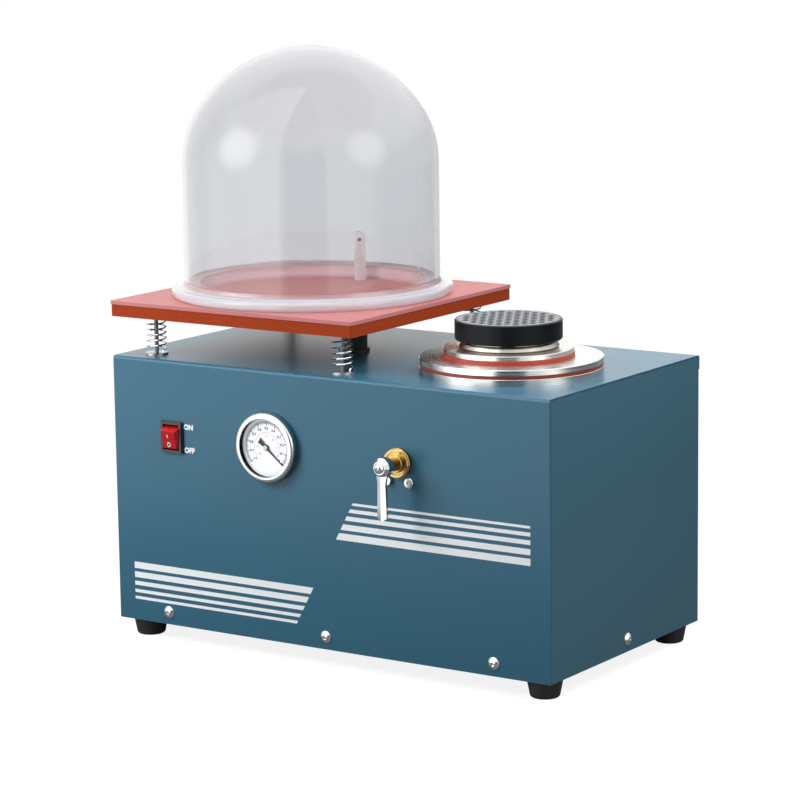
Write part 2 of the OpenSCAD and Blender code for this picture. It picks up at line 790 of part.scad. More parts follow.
module switch_bezel() {
    body_l = 24;
    color("#17181a")
    translate([switch_x, 0, switch_z]) {
        difference() {
            union() {
                upright(front_y - 2, 2) rounded_rect(switch_w, switch_hh, 2);
                upright(front_y - 3.2, 1.2) rounded_rect(switch_w - 2, switch_hh - 2, 1.4);
                upright(front_y, body_l) rounded_rect(switch_w - 4, switch_hh - 4, 0.8);
            }
            upright(front_y - 5, 5 + body_l - 4)
                square([rocker_w + 2 * move_gap, rocker_h + 2 * move_gap], center = true);
        }
        bar_x(pivot_y, 0, -rocker_w / 2 - 1, rocker_w + 2, rocker_bore_r - run_gap);
        for (z = [-8, 0, 8])
            translate([-3.15, front_y + body_l - 0.5, z - 0.4]) cube([6.3, 9, 0.8]);
    }
}

// block that narrows towards its flat front; its lower half is pressed in at rest
module switch_rocker() {
    face = 10;
    face_half = 8.5;
    skirt = 5.5;
    taper = 1.5;
    half = rocker_h / 2 - 1;
    color("#c22a22")
    translate([switch_x, pivot_y, switch_z]) rotate([rocker_tilt, 0, 0]) difference() {
        intersection() {
            translate([-rocker_w / 2, 0, 0]) rotate([90, 0, 90]) linear_extrude(rocker_w)
                union() {
                    polygon([[-face, face_half], [-face, -face_half], [-1, -half], [0, -half + 1],
                        [5, -4], [5, 4], [0, half - 1], [-1, half]]);
                    circle(4);
                }
            translate([0, 0, -rocker_h]) linear_extrude(2 * rocker_h)
                polygon([[-rocker_w / 2, 6], [-rocker_w / 2, -skirt],
                    [-rocker_w / 2 + taper, -face], [rocker_w / 2 - taper, -face],
                    [rocker_w / 2, -skirt], [rocker_w / 2, 6]]);
        }
        bar_x(0, 0, -rocker_w, 2 * rocker_w, rocker_bore_r);
    }
}

// ---- gauge ----

gauge_dial_y = front_y - 3;
gauge_pointer_y = gauge_dial_y - 1.4;
gauge_lens_y = front_y - 7;
gauge_lens_t = 2;
pointer_shaft_r = 1;
dial_t = 0.8;

module gauge_profile() {
    translate([gauge_x, 0, control_z]) rotate([90, 0, 0]) rotate_extrude($fn = 96) children();
}

// closed can behind the panel, its threaded port at the bottom
module gauge_case() {
    r = gauge_case_d / 2;
    rear = -front_y - gauge_case_l;
    color("#c8ccd0")
    difference() {
        union() {
            gauge_profile() difference() {
                translate([0, rear]) square([r, gauge_case_l + 6]);
                translate([0, rear + 1.2]) square([r - 1.2, gauge_case_l + 6]);
            }
            translate([gauge_x, gauge_port_y, gauge_port_z])
                cylinder(h = control_z - gauge_port_z - r + 4, r = 5);
        }
        translate([gauge_x, gauge_port_y, gauge_port_z - 1])
            cylinder(h = control_z - gauge_port_z - r + 8, r = gauge_port_r);
    }
}

// rolled bezel with a rounded outer edge, seated on the panel
module gauge_bezel() {
    r = gauge_d / 2;
    edge = 3.5;
    color("#d8dadd")
    gauge_profile() translate([0, -front_y]) difference() {
        union() {
            translate([gauge_case_d / 2 + fit_gap, 0]) square([r - 1.5 - gauge_case_d / 2, 1.5]);
            translate([gauge_case_d / 2 - 1.5, 1.5])
                square([r - gauge_case_d / 2 + 1.5, gauge_proud - 1.5 - edge]);
            translate([gauge_case_d / 2 - 1.5, 1.5])
                square([r - edge - gauge_case_d / 2 + 1.5, gauge_proud - 1.5]);
            translate([r - edge, gauge_proud - edge]) circle(edge);
            translate([28, gauge_proud - 3]) square([4, 2]);
        }
        translate([0, -1]) square([gauge_case_d / 2 + fit_gap, 7.2]);
        translate([0, 6]) square([gauge_case_d / 2 + fit_gap, gauge_lens_t - 1 + 0.2]);
        translate([0, -5]) square([28, 30]);
    }
}

module gauge_dial() {
    color("white")
    difference() {
        bar_y(gauge_x, control_z, gauge_dial_y, dial_t, gauge_case_d / 2 - 1.5);
        bar_y(gauge_x, control_z, gauge_dial_y - 2, 6, pointer_shaft_r + 0.4);
    }
}

module gauge_lens() {
    color("#e8f0f4", 0.3)
    bar_y(gauge_x, control_z, gauge_lens_y, gauge_lens_t - 1, gauge_case_d / 2 - 0.2);
}

// the tip points to the lower right at rest, where the scale begins
// angle of the needle below the horizontal at rest
pointer_rest = 40;

module gauge_pointer() {
    color("#17181a")
    translate([gauge_x, 0, control_z]) rotate([0, pointer_rest, 0]) {
        upright(gauge_pointer_y - 0.3, 0.6) {
            polygon([[-9.7, -2.8], [-9.7, 2.8], [0, 1], [24, 0.3], [24, -0.3], [0, -1]]);
            circle(3);
        }
        bar_y(0, 0, gauge_pointer_y - 1.2, 1.2, 2);
        bar_y(0, 0, gauge_pointer_y, 14, pointer_shaft_r);
    }
}

// curved pressure tube, its socket, and the plates that carry the pointer's shaft and the dial
module gauge_movement() {
    coil_r = gauge_case_d / 2 - 8;
    plate_y = gauge_dial_y + 10;
    plate_w = 16;
    tube_y = plate_y + 6;
    socket_z = -gauge_case_d / 2 + 4 + fit_gap;
    socket_y = tube_y - 4;
    color("#c89a3a")
    translate([gauge_x, 0, control_z]) difference() {
        union() {
            translate([0, tube_y, 0]) rotate([90, 80, 0])
                rotate_extrude(angle = 250, $fn = 72) translate([coil_r, 0])
                    difference() {
                        square([2.4, 6], center = true);
                        square([1.4, 5], center = true);
                    }
            translate([-5, socket_y, socket_z]) cube([10, gauge_port_y + 5 - socket_y, 6]);
            translate([-2, plate_y + 1, socket_z + 1]) cube([4, 3, -socket_z - plate_w / 2]);
            upright(plate_y - 6, 1) square(plate_w, center = true);
            upright(plate_y + 1, 1) square(plate_w, center = true);
            for (s = [-1, 1]) {
                bar_y(s * 6, s * 6, plate_y - 6, 8, 1);
                bar_y(s * 6, -s * 6, gauge_dial_y + dial_t, plate_y - gauge_dial_y, 1);
            }
        }
        bar_y(0, 0, plate_y - 10, 20, pointer_shaft_r + run_gap);
    }
}

// ---- valve ----

module valve_body() {
    w = valve_block_w;
    color("#c89a3a")
    difference() {
        union() {
            translate([valve_x, 0, control_z]) upright(valve_block_y, valve_block_l)
                rounded_rect(w, w, 3);
            bar_y(valve_x, control_z, hub_y + move_gap, valve_block_y - hub_y, valve_neck_d / 2);
            bar_x(line_y_table, control_z, valve_x - w / 2 - port_l, port_l + 1, port_r - fit_gap);
            bar_x(line_y_chamber, control_z, valve_x + w / 2 - 1, port_l + 1, port_r - fit_gap);
            translate([valve_x, line_y_table, control_z - w / 2 - port_l])
                cylinder(h = port_l + 1, r = port_r - fit_gap);
            translate([valve_x, gauge_port_y, control_z - w / 2 - port_l])
                cylinder(h = port_l + 1, r = gauge_port_r - fit_gap);
        }
        bar_y(valve_x, control_z, valve_block_y + 4, valve_block_l - 7, plug_bore_r);
        bar_y(valve_x, control_z, hub_y - 5, 60, stem_r + run_gap);
        bar_x(line_y_table, control_z, valve_x - w, w, port_r - 1.5);
        bar_x(line_y_chamber, control_z, valve_x, w, port_r - 1.5);
        translate([valve_x, line_y_table, control_z - w]) cylinder(h = w, r = port_r - 1.5);
        translate([valve_x, gauge_port_y, control_z - w]) cylinder(h = w, r = gauge_port_r - 1.2);
    }
}

// stepped brass nut that clamps the valve to the panel
module valve_collar() {
    r = valve_collar_d / 2;
    t = valve_collar_t;
    bore = valve_neck_d / 2 + fit_gap;
    color("#c89a3a")
    translate([valve_x, front_y, control_z]) rotate([90, 0, 0]) rotate_extrude($fn = 72)
        polygon([[bore, 0], [r, 0], [r, t - 3.4], [r - 0.6, t - 2.8], [r - 0.6, t - 2.2],
            [r, t - 1.6], [r, t - 0.8], [r - 0.8, t], [r - 3, t], [r - 3.4, t - 0.8],
            [r - 5, t - 0.8], [r - 5, t + 1.8], [r - 5.6, t + 2.4], [bore, t + 2.4]]);
}

module valve_bracket() {
    color("#9aa0a4")
    difference() {
        translate([valve_x, 0, control_z - 3]) upright(panel_in_y + fit_gap / 2, 2)
            rounded_rect(44, 54, 4);
        bar_y(valve_x, control_z, front_y, 20, valve_neck_d / 2 + fit_gap);
        for (s = [-1, 1])
            bar_y(valve_x + s * bracket_screw_pitch / 2, control_z - bracket_screw_drop,
                front_y, 20, bracket_screw_d / 2 + fit_gap);
    }
}

module bracket_screws() {
    color("silver")
    for (s = [-1, 1])
        translate([valve_x + s * bracket_screw_pitch / 2, front_y, control_z - bracket_screw_drop])
            rotate([90, 0, 0]) cap_screw(9.5, 4.2, bracket_screw_d, sheet_t + 2, 4);
}

// plug with crossing ways, and the stem that the lever sits on
module valve_plug() {
    r = plug_bore_r - run_gap;
    plug_l = valve_block_l - 8;
    color("#b0b4b8")
    difference() {
        union() {
            bar_y(valve_x, control_z, valve_block_y + 4.5, plug_l, r);
            bar_y(valve_x, control_z, hub_y - lever_hub_t + 3, valve_block_y + 5 - hub_y
                + lever_hub_t - 3, stem_r);
        }
        translate([valve_x, line_y_table, control_z - 20]) cylinder(h = 20, r = port_r - 1.5);
        bar_x(line_y_table, control_z, valve_x - 20, 20, port_r - 1.5);
        bar_y(valve_x, control_z, line_y_chamber, line_y_table - line_y_chamber, 2.5);
        bar_y(valve_x, control_z, hub_y - lever_hub_t - 1, 10, 1.6);
    }
}

lever_tip_w = 10;
lever_neck_w = 8.4;
lever_t = 4.4;
lever_ridge = 3.4;
lever_taper = 3.5;

// hub with a tapering blade that curves towards the panel at its tip
module valve_lever() {
    blade_l = lever_l - lever_tip_w / 2;
    color("#d8dadd")
    translate([valve_x, hub_y, control_z]) difference() {
        union() {
            rotate([90, 0, 0]) cylinder(h = lever_hub_t - lever_taper, d = lever_hub_d);
            translate([0, -lever_hub_t + lever_taper, 0]) rotate([90, 0, 0])
                cylinder(h = lever_taper, d1 = lever_hub_d, d2 = lever_hub_d - 6);
            intersection() {
                upright(-lever_hub_t - 5, 20)
                    union() {
                        polygon([[-lever_hub_d * 0.4, 0], [lever_hub_d * 0.4, 0],
                            [lever_neck_w / 2, -lever_hub_d * 0.8],
                            [lever_tip_w / 2, -blade_l], [-lever_tip_w / 2, -blade_l],
                            [-lever_neck_w / 2, -lever_hub_d * 0.8]]);
                        translate([0, -blade_l]) circle(lever_tip_w / 2);
                    }
                translate([0, -lever_hub_t + 2, -lever_l - 1]) linear_extrude(lever_l + 1)
                    polygon([[-lever_hub_d / 2, lever_ridge], [0, 0], [lever_hub_d / 2, lever_ridge],
                        [lever_hub_d / 2, lever_t], [-lever_hub_d / 2, lever_t]]);
            }
        }
        bar_y(0, 0, -lever_hub_t + 3 - fit_gap, lever_hub_t, stem_r + fit_gap);
        bar_y(0, 0, -lever_hub_t - 2, lever_hub_t, 1.7);
    }
}

module lever_screw() {
    color("silver")
    translate([valve_x, hub_y - lever_hub_t, control_z]) rotate([90, 0, 0])
        button_screw(10, lever_screw_head_h, 3, 6, 3);
}

// ---- table ----

module rod_holes(d, z, h) {
    at_rods() translate([0, 0, z]) cylinder(h = h, d = d);
}

rod_thread_l = 8;

module table_board() {
    color("#b85a38")
    difference() {
        translate([table_x, mid_y, board_z]) linear_extrude(board_t)
            rounded_rect(table_w, table_d, 1.5);
        rod_holes(rod_d + 2 * fit_gap, board_z - 1, rod_thread_l + 1);
        translate([pipe_x, pipe_y, board_z - 1]) cylinder(h = board_t + 2, d = pipe_d + 2 * fit_gap);
    }
}

module table_mat() {
    color("#e8a0a0")
    difference() {
        translate([table_x, mid_y, mat_z]) linear_extrude(mat_t)
            rounded_rect(table_w + 2 * mat_overhang, table_d + 2 * mat_overhang, 2);
        translate([pipe_x, pipe_y, mat_z - 1]) cylinder(h = mat_t + 2, d = pipe_d + 2 * fit_gap);
    }
}

// plate with a channel between the hose and the stand pipe
module table_manifold() {
    x0 = pipe_x - 24;
    x1 = hose_x + manifold_edge;
    y0 = hose_y - manifold_edge + 4;
    y1 = pipe_y - pipe_d / 2;
    channel_r = 1.8;
    channel_z = manifold_z + manifold_t / 2;
    color("#1e1f22")
    difference() {
        translate([0, 0, manifold_z]) linear_extrude(manifold_t - fit_gap) {
            translate([(x0 + x1) / 2, (y0 + y1) / 2]) rounded_rect(x1 - x0, y1 - y0, 6);
            translate([pipe_x, pipe_y - 10]) rounded_rect(2 * (pipe_x - x0), 52, 6);
        }
        translate([pipe_x, pipe_y, channel_z - 1.8]) cylinder(h = manifold_t, d = pipe_d + 2 * fit_gap);
        translate([hose_x, hose_y, manifold_z - 1])
            cylinder(h = manifold_t / 2 + 2, d = bulkhead_neck_d - 6);
        bar_y(hose_x, channel_z, hose_y, pipe_y - hose_y, channel_r);
        bar_x(pipe_y, channel_z, pipe_x, hose_x - pipe_x, channel_r);
    }
}

// slanted tip, with a small suction hole facing the front
module stand_pipe() {
    z0 = manifold_z + manifold_t / 2 - 1.8;
    z1 = jar_z + pipe_h;
    color("#d8dadd")
    difference() {
        translate([pipe_x, pipe_y, z0]) cylinder(h = z1 - z0, d = pipe_d);
        translate([pipe_x, pipe_y, z0 - 1]) cylinder(h = z1 - z0 + 2, d = pipe_bore_d);
        translate([pipe_x, pipe_y, z1]) rotate([-14, 18, 0])
            translate([-20, -20, 0]) cube([40, 40, 20]);
        translate([pipe_x, pipe_y, z1 - 7.5]) rotate([90, 0, 32]) cylinder(h = 20, d = 4);
    }
}

// rods screwed into the board, each with a washer under it
module guide_rods() {
    color("#8a8e92")
    at_rods() {
        translate([0, 0, rod_end_z])
            cylinder(h = board_z + rod_thread_l - 0.5 - rod_end_z, d = rod_d);
        translate([0, 0, spring_z1]) cylinder(h = rod_washer_t - fit_gap, d = spring_d + 2);
    }
}

// pairs of hexagon nuts that stop the table at the top of its travel
module rod_nuts() {
    z1 = top_z - sheet_t - bush_l - move_gap;
    color("silver")
    at_rods() translate([0, 0, z1 - rod_nut_t]) difference() {
        cylinder(h = rod_nut_t, d = (rod_d + 4) / cos(30), $fn = 6);
        translate([0, 0, -1]) cylinder(h = rod_nut_t + 2, d = rod_d + 2 * fit_gap);
    }
}

// flanged bushes that carry the springs and guide the rods
module rod_bushes() {
    neck_r = bush_neck_d / 2;
    bore_r = rod_d / 2 + run_gap;
    color("#b8bcc0")
    at_rods() translate([0, 0, top_z]) rotate_extrude()
        polygon([[bore_r, -sheet_t - bush_l], [neck_r - 1, -sheet_t - bush_l],
            [neck_r, -sheet_t - bush_l + 1], [neck_r, 0], [bush_flange_d / 2, 0],
            [bush_flange_d / 2, bush_flange_t - 0.5], [bush_flange_d / 2 - 0.5, bush_flange_t],
            [bore_r, bush_flange_t]]);
}

module table_springs() {
    color("#c8ccd0")
    at_rods() translate([0, 0, spring_z0]) wound_spring();
}

// black hose between the bulkhead and the plate under the board
module table_hose() {
    z0 = top_z + bulkhead_t;
    color("#1c1c1e")
    translate([hose_x, hose_y, z0]) difference() {
        cylinder(h = manifold_z - z0 - fit_gap, d = hose_d);
        translate([0, 0, -1]) cylinder(h = 60, d = hose_d - 2 * hose_wall);
    }
}

module hose_bulkhead() {
    color("#2a2a2c")
    translate([hose_x, hose_y, 0]) difference() {
        union() {
            translate([0, 0, top_z]) cylinder(h = bulkhead_t - fit_gap, d = hose_d + 4);
            translate([0, 0, top_z - bulkhead_l]) cylinder(h = bulkhead_l + 1, d = bulkhead_neck_d);
            translate([0, 0, top_z - sheet_t - 5]) cylinder(h = 4.9, d = bulkhead_neck_d + 10, $fn = 6);
            translate([0, 0, top_z - bulkhead_l - port_l])
                cylinder(h = port_l + 1, r = port_r - fit_gap);
        }
        translate([0, 0, top_z - bulkhead_l - port_l - 1])
            cylinder(h = bulkhead_l + port_l + 10, r = port_r - 1.5);
    }
}

// ---- bell jar ----

// outline of the jar's body as a solid, drawn t inside its outer skin
module jar_outline(t) {
    turn = atan2(jar_crown_drop, jar_shoulder_x);
    far = 2 * jar_h;
    intersection() {
        square([jar_d, far]);
        union() {
            square([jar_d / 2 - t, jar_shoulder_h]);
            translate([jar_shoulder_x, jar_shoulder_h]) circle(jar_shoulder_r - t, $fn = 128);
            intersection() {
                translate([0, jar_crown_h]) circle(jar_crown_r - t, $fn = 128);
                translate([0, jar_crown_h])
                    polygon([[0, 0], [far * cos(turn), far * sin(turn)], [0, far]]);
            }
        }
    }
}

module bell_jar() {
    r1 = jar_flange_d / 2;
    rim = jar_flange_t * 0.4;
    mouth = jar_mouth_d / 2;
    wall_out = jar_d / 2;
    bead_z = jar_flange_t + jar_bead_h;
    color("#e8eef0", 0.3)
    translate([table_x, mid_y, jar_z]) rotate_extrude($fn = 128)
        difference() {
            union() {
                jar_outline(0);
                square([r1 - rim, jar_flange_t]);
                translate([0, rim]) square([r1, jar_flange_t - 2 * rim]);
                for (z = [rim, jar_flange_t - rim]) translate([r1 - rim, z]) circle(rim);
                polygon([[mouth, 0], [wall_out + jar_bead_h + 2, jar_flange_t],
                    [wall_out + 1, jar_flange_t + jar_bead_h * 0.5], [wall_out, bead_z + 2],
                    [wall_out - jar_wall, bead_z + 2], [mouth, bead_z]]);
            }
            difference() {
                jar_outline(jar_wall);
                translate([mouth, 0])
                    polygon([[0, -1], [wall_out, -1], [wall_out, bead_z + 2],
                        [wall_out - jar_wall - mouth, bead_z + 2], [0, bead_z]]);
            }
            translate([0, -1]) square([mouth, bead_z + 2]);
        }
}

// ---- casting chamber ----

module chamber_ring() {
    color("#c4c6c8")
    at_chamber(top_z) turned_ring(ring_d, can_d + 2 * fit_gap, ring_t, 0.5);
}

// cup that hangs in the ring, with the suction port in its floor
module chamber_can() {
    r = can_d / 2;
    color("#b8bcc0")
    at_chamber(can_z) difference() {
        union() {
            cylinder(h = can_h, r = r, $fn = 96);
            translate([0, 0, -can_port_l]) cylinder(h = can_port_l + 1, r = port_r - fit_gap);
        }
        translate([0, 0, can_wall]) cylinder(h = can_h, r = r - can_wall, $fn = 96);
        translate([0, 0, -can_port_l - 1]) cylinder(h = can_port_l + 10, r = port_r - 1.5);
    }
}

module ring_gasket() {
    color("#c8442c")
    at_chamber(ring_top_z)
        turned_ring(ring_d - 0.6, can_d - 4, ring_gasket_t - move_gap, 0.3);
}

module adapter_plate() {
    color("#c4c6c8")
    at_chamber(gasket_top_z) turned_ring(ring_d, adapter_bore_d, adapter_t - fit_gap, 0.5);
}

module flask_gasket() {
    color("#c8442c")
    at_flask(adapter_top_z)
        turned_ring(flask_gasket_d, adapter_bore_d - 8, flask_gasket_t - move_gap, 0.3);
}

module flask_plate() {
    color("#c4c6c8")
    at_flask(flask_z) turned_ring(flask_plate_d, flask_bore_d, flask_plate_t, 0.5);
}

// turned collar that rests on the flask plate, its spigot in the plate's bore
module plug_collar() {
    spigot_r = flask_bore_d / 2 - move_gap;
    r = collar_d / 2;
    color("#d8dadd")
    at_flask(flask_top_z) rotate_extrude($fn = 96)
        polygon([[spigot_r - 5, -spigot_drop], [spigot_r - 1, -spigot_drop],
            [spigot_r, -spigot_drop + 1], [spigot_r, move_gap], [r - 1.2, move_gap],
            [r, move_gap + 1.2], [r - 2.5, collar_h - 1], [r - 2.5, collar_h - fit_gap],
            [spigot_r - 5, collar_h - fit_gap]]);
}

// black cap with a field of hexagonal pockets in its top
module plug_cap() {
    r = cap_d / 2;
    chamfer = 1.2;
    reach = r - 3.6 - pocket_w / 2;
    rows = ceil(reach / (pocket_pitch * sin(60)));
    color("#1e1f22")
    at_flask(cap_z) difference() {
        rotate_extrude($fn = 96)
            polygon([[0, 0], [r - chamfer, 0], [r, chamfer], [r, cap_h - chamfer],
                [r - chamfer, cap_h], [0, cap_h]]);
        for (j = [-rows:rows], i = [-rows - 1:rows + 1]) {
            x = (i + (j % 2 == 0 ? 0 : 0.5)) * pocket_pitch;
            y = j * pocket_pitch * sin(60);
            if (norm([x, y]) < reach)
                translate([x, y, cap_h - pocket_depth])
                    cylinder(h = pocket_depth + 1, d = pocket_w / cos(30), $fn = 6);
        }
    }
}

// ---- pump and motor ----

pump_screw_d = 6;
pump_screw_xs = [motor_x0 + 24, pump_x1 - 22];
pump_screw_dy = 38;

// finned tube, closed at the pump's end
module motor_housing() {
    core_r = motor_d / 2 - fin_h;
    color("#6a7074")
    translate([motor_x0, pump_y, motor_z]) rotate([0, 90, 0]) difference() {
        union() {
            cylinder(h = motor_l, r = core_r, $fn = 72);
            for (i = [0:fin_count - 1])
                rotate(360 * i / fin_count)
                    translate([core_r - 1, -1, 4]) cube([fin_h + 1, 2, motor_l - 8]);
        }
        translate([0, 0, -1]) cylinder(h = motor_l - 5, r = core_r - 5, $fn = 72);
        cylinder(h = motor_l + 1, r = shaft_r + run_gap);
    }
}

// slotted cowl over the cooling fan
module motor_cowl() {
    r = motor_d / 2 + 1;
    lap = 3.5;
    color("#2a2c2e")
    translate([motor_x0 - cowl_l, pump_y, motor_z]) rotate([0, 90, 0]) difference() {
        cylinder(h = cowl_l + lap, r = r, $fn = 72);
        translate([0, 0, 2]) cylinder(h = cowl_l - 4, r = r - 2, $fn = 72);
        translate([0, 0, 2]) cylinder(h = 2 * cowl_l, r = motor_d / 2 - fin_h + fit_gap, $fn = 72);
        for (i = [0:11])
            rotate(30 * i) translate([r * 0.25, -2, -1]) cube([r * 0.6, 4, 4]);
    }
}

// cast block with cooling ribs, an inlet, an exhaust dome and a sight glass recess
module pump_block() {
    z0 = motor_z - pump_h / 2;
    color("#3a6ea5")
    difference() {
        union() {
            translate([pump_x0, pump_y, z0 + pump_h / 2]) rotate([90, 0, 90])
                linear_extrude(pump_l) rounded_rect(pump_w - 6, pump_h, 8);
            for (i = [0:6])
                translate([pump_x0 + 6 + i * (pump_l - 15) / 6, pump_y - pump_w / 2, z0 + 24])
                    cube([3, pump_w, pump_h - 48]);
            bar_x(pump_y, pump_port_z, pump_x1 - 1, port_l + 1, port_r - fit_gap);
            translate([pump_x0 + 30, pump_y, z0 + pump_h - 1]) cylinder(h = 17, r = 16);
            translate([pump_x0 + 30, pump_y, z0 + pump_h + 16]) cylinder(h = 4, r1 = 16, r2 = 12);
        }
        bar_x(pump_y, pump_port_z, pump_x1 - 20, port_l + 21, port_r - 1.5);
        bar_x(pump_y, motor_z, pump_x0 - 1, 41, shaft_r + run_gap);
        bar_x(pump_y, z0 + 30, pump_x1 - 3, 4, oil_glass_r + fit_gap);
    }
}

// round sight glass in the pump's end, with a rim
module oil_glass() {
    color("#e8c860", 0.5)
    translate([pump_x1 - 3, pump_y, motor_z - pump_h / 2 + 30]) rotate([0, 90, 0]) difference() {
        cylinder(h = 4, r = oil_glass_r);
        translate([0, 0, 3]) cylinder(h = 2, r = oil_glass_r - 2);
    }
}

// two channels across the pan carry the motor and the pump
module pump_feet() {
    color("#2a2c2e")
    for (x = pump_screw_xs) {
        saddle_z = x < motor_x1 ? motor_z - motor_d / 2 : motor_z - pump_h / 2;
        difference() {
            union() {
                translate([x - 10, pump_y - pump_screw_dy - 10, pan_top_z])
                    cube([20, 2 * pump_screw_dy + 20, 4]);
                translate([x - 10, pump_y - 24, pan_top_z])
                    cube([20, 48, saddle_z - pan_top_z + (x < motor_x1 ? 6 : -fit_gap)]);
            }
            for (s = [-1, 1])
                translate([x, pump_y + s * pump_screw_dy, pan_top_z - 1])
                    cylinder(h = 20, d = pump_screw_d + 2 * fit_gap);
            if (x < motor_x1)
                bar_x(pump_y, motor_z, x - 20, 40, motor_d / 2 + fit_gap);
        }
    }
}

module pump_screws() {
    color("silver")
    for (x = pump_screw_xs, s = [-1, 1])
        translate([x, pump_y + s * pump_screw_dy, pan_top_z + 4])
            cap_screw(10, 6, pump_screw_d, 5, 5);
}

// shaft with the rotor on it
module motor_shaft() {
    core_r = motor_d / 2 - fin_h - 5;
    color("#9aa0a4") {
        bar_x(pump_y, motor_z, motor_x0 - 10, motor_l + 50, shaft_r);
        bar_x(pump_y, motor_z, motor_x0 + 20, motor_l - 40, core_r - 14);
    }
}

module cooling_fan() {
    hub_r = 14;
    fan_r = motor_d / 2 - 6;
    color("#e8e4d8")
    translate([motor_x0 - 11, pump_y, motor_z]) rotate([0, 90, 0]) difference() {
        union() {
            cylinder(h = 9, r = hub_r);
            for (i = [0:8])
                rotate(40 * i) translate([hub_r - 2, -1, 0.5]) cube([fan_r - hub_r + 2, 2, 8]);
        }
        translate([0, 0, -1]) cylinder(h = 12, r = shaft_r + fit_gap);
    }
}

// ---- hoses inside the cabinet ----

line_bend = 18;
pump_line_z = pump_port_z;
chamber_line_z = can_port_z - 22;

module pump_hose() {
    color("#d8c8a0")
    hose_run([[valve_x, line_y_table, control_z - valve_block_w / 2 - 2],
        [valve_x, line_y_table, pump_line_z], [valve_x, pump_y, pump_line_z],
        [pump_x1 + 2, pump_y, pump_line_z]], suction_d, suction_wall, line_bend);
}

module table_line() {
    color("#d8c8a0")
    hose_run([[valve_x - valve_block_w / 2 - 2, line_y_table, control_z],
        [hose_x, line_y_table, control_z], [hose_x, hose_y, control_z],
        [hose_x, hose_y, top_z - bulkhead_l - 2]], suction_d, suction_wall, line_bend);
}

module chamber_line() {
    color("#d8c8a0")
    hose_run([[valve_x + valve_block_w / 2 + 2, line_y_chamber, control_z],
        [chamber_x, line_y_chamber, control_z], [chamber_x, line_y_chamber, chamber_line_z],
        [chamber_x, chamber_y, chamber_line_z], [chamber_x, chamber_y, can_z - 2]],
        suction_d, suction_wall, line_bend);
}

module gauge_line() {
    color("#1c1c1e")
    hose_run([[gauge_x, gauge_port_y, gauge_port_z - fit_gap],
        [gauge_x, gauge_port_y, gauge_port_z - 22], [valve_x, gauge_port_y, gauge_port_z - 22],
        [valve_x, gauge_port_y, control_z - valve_block_w / 2 - 2]],
        2 * gauge_port_r + 3, 1.5, 12);
}

// ---- mains inlet ----

// appliance inlet; the socket's lower corners are cut
module power_inlet() {
    body_l = 22;
    color("#17181a")
    translate([inlet_x, 0, inlet_z]) difference() {
        union() {
            upright(rear_out_y + fit_gap, inlet_out_y - rear_out_y - fit_gap)
                slot(inlet_flange_w, 11.5);
            upright(rear_out_y - body_l, body_l + 1) rounded_rect(inlet_w, inlet_h, 2);
        }
        upright(inlet_out_y - inlet_depth, inlet_depth + 1)
            polygon([[-12, 8], [12, 8], [12, -4], [8, -8], [-8, -8], [-12, -4]]);
        for (s = [-1, 1])
            bar_y(s * inlet_screw_pitch / 2, 0, rear_out_y - 5, 20, inlet_screw_d / 2 + fit_gap);
        inlet_blades(fit_gap);
    }
}

// three flat pins with their tags behind the socket
module inlet_blades(gap) {
    for (p = [[-7, -2], [0, 2], [7, -2]])
        translate([p.x - 1 - gap, inlet_out_y - 28, p.y - 2 - gap])
            cube([2 + 2 * gap, 24.5, 4 + 2 * gap]);
}

module inlet_pins() {
    color("#c89a3a")
    translate([inlet_x, 0, inlet_z]) inlet_blades(0);
}

cabinet_cover();
side_panel_left();
side_panel_right();
rear_panel();
base_pan();
cover_screws();
side_screws();
rear_screws();
rubber_feet();
foot_screws();
switch_bezel();
switch_rocker();
gauge_case();
gauge_bezel();
gauge_dial();
gauge_lens();
gauge_pointer();
gauge_movement();
valve_body();
valve_collar();
valve_bracket();
bracket_screws();
valve_plug();
valve_lever();
lever_screw();
table_board();
table_mat();
table_manifold();
stand_pipe();
guide_rods();
rod_nuts();
rod_bushes();
table_springs();
table_hose();
hose_bulkhead();
bell_jar();
chamber_ring();
chamber_can();
ring_gasket();
adapter_plate();
flask_gasket();
flask_plate();
plug_collar();
plug_cap();
motor_housing();
motor_cowl();
pump_block();
pump_feet();
pump_screws();
motor_shaft();
cooling_fan();
pump_hose();
table_line();
chamber_line();
gauge_line();
power_inlet();
inlet_pins();
oil_glass();
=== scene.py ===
import math

import bmesh
import bpy
from mathutils import Matrix, Vector


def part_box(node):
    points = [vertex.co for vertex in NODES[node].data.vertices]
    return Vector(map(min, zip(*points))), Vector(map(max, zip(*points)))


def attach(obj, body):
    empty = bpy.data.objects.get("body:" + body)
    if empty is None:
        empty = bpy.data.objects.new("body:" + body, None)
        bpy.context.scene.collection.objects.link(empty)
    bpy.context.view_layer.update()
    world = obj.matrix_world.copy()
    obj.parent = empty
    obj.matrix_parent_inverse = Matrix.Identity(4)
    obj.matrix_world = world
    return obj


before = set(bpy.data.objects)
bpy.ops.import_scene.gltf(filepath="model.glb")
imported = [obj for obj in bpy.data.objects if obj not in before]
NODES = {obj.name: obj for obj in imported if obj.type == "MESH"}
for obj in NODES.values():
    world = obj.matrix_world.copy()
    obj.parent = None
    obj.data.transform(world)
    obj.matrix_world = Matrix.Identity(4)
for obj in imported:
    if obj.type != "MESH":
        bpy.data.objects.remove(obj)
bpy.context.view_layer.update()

# Looks, printed marks and studio of the jewelry vacuum casting machine. The CAD pieces keep their
# shape and place and get procedural materials; only thin printed or flat marks are added here.
# Lengths are metres, or mm where they are multiplied by MM; angles are degrees.

MM = 0.001

# ---------------------------------------------------------------- places taken from the frame


def middle(lo, hi):
    return Vector([(a + b) / 2 for a, b in zip(lo, hi)])


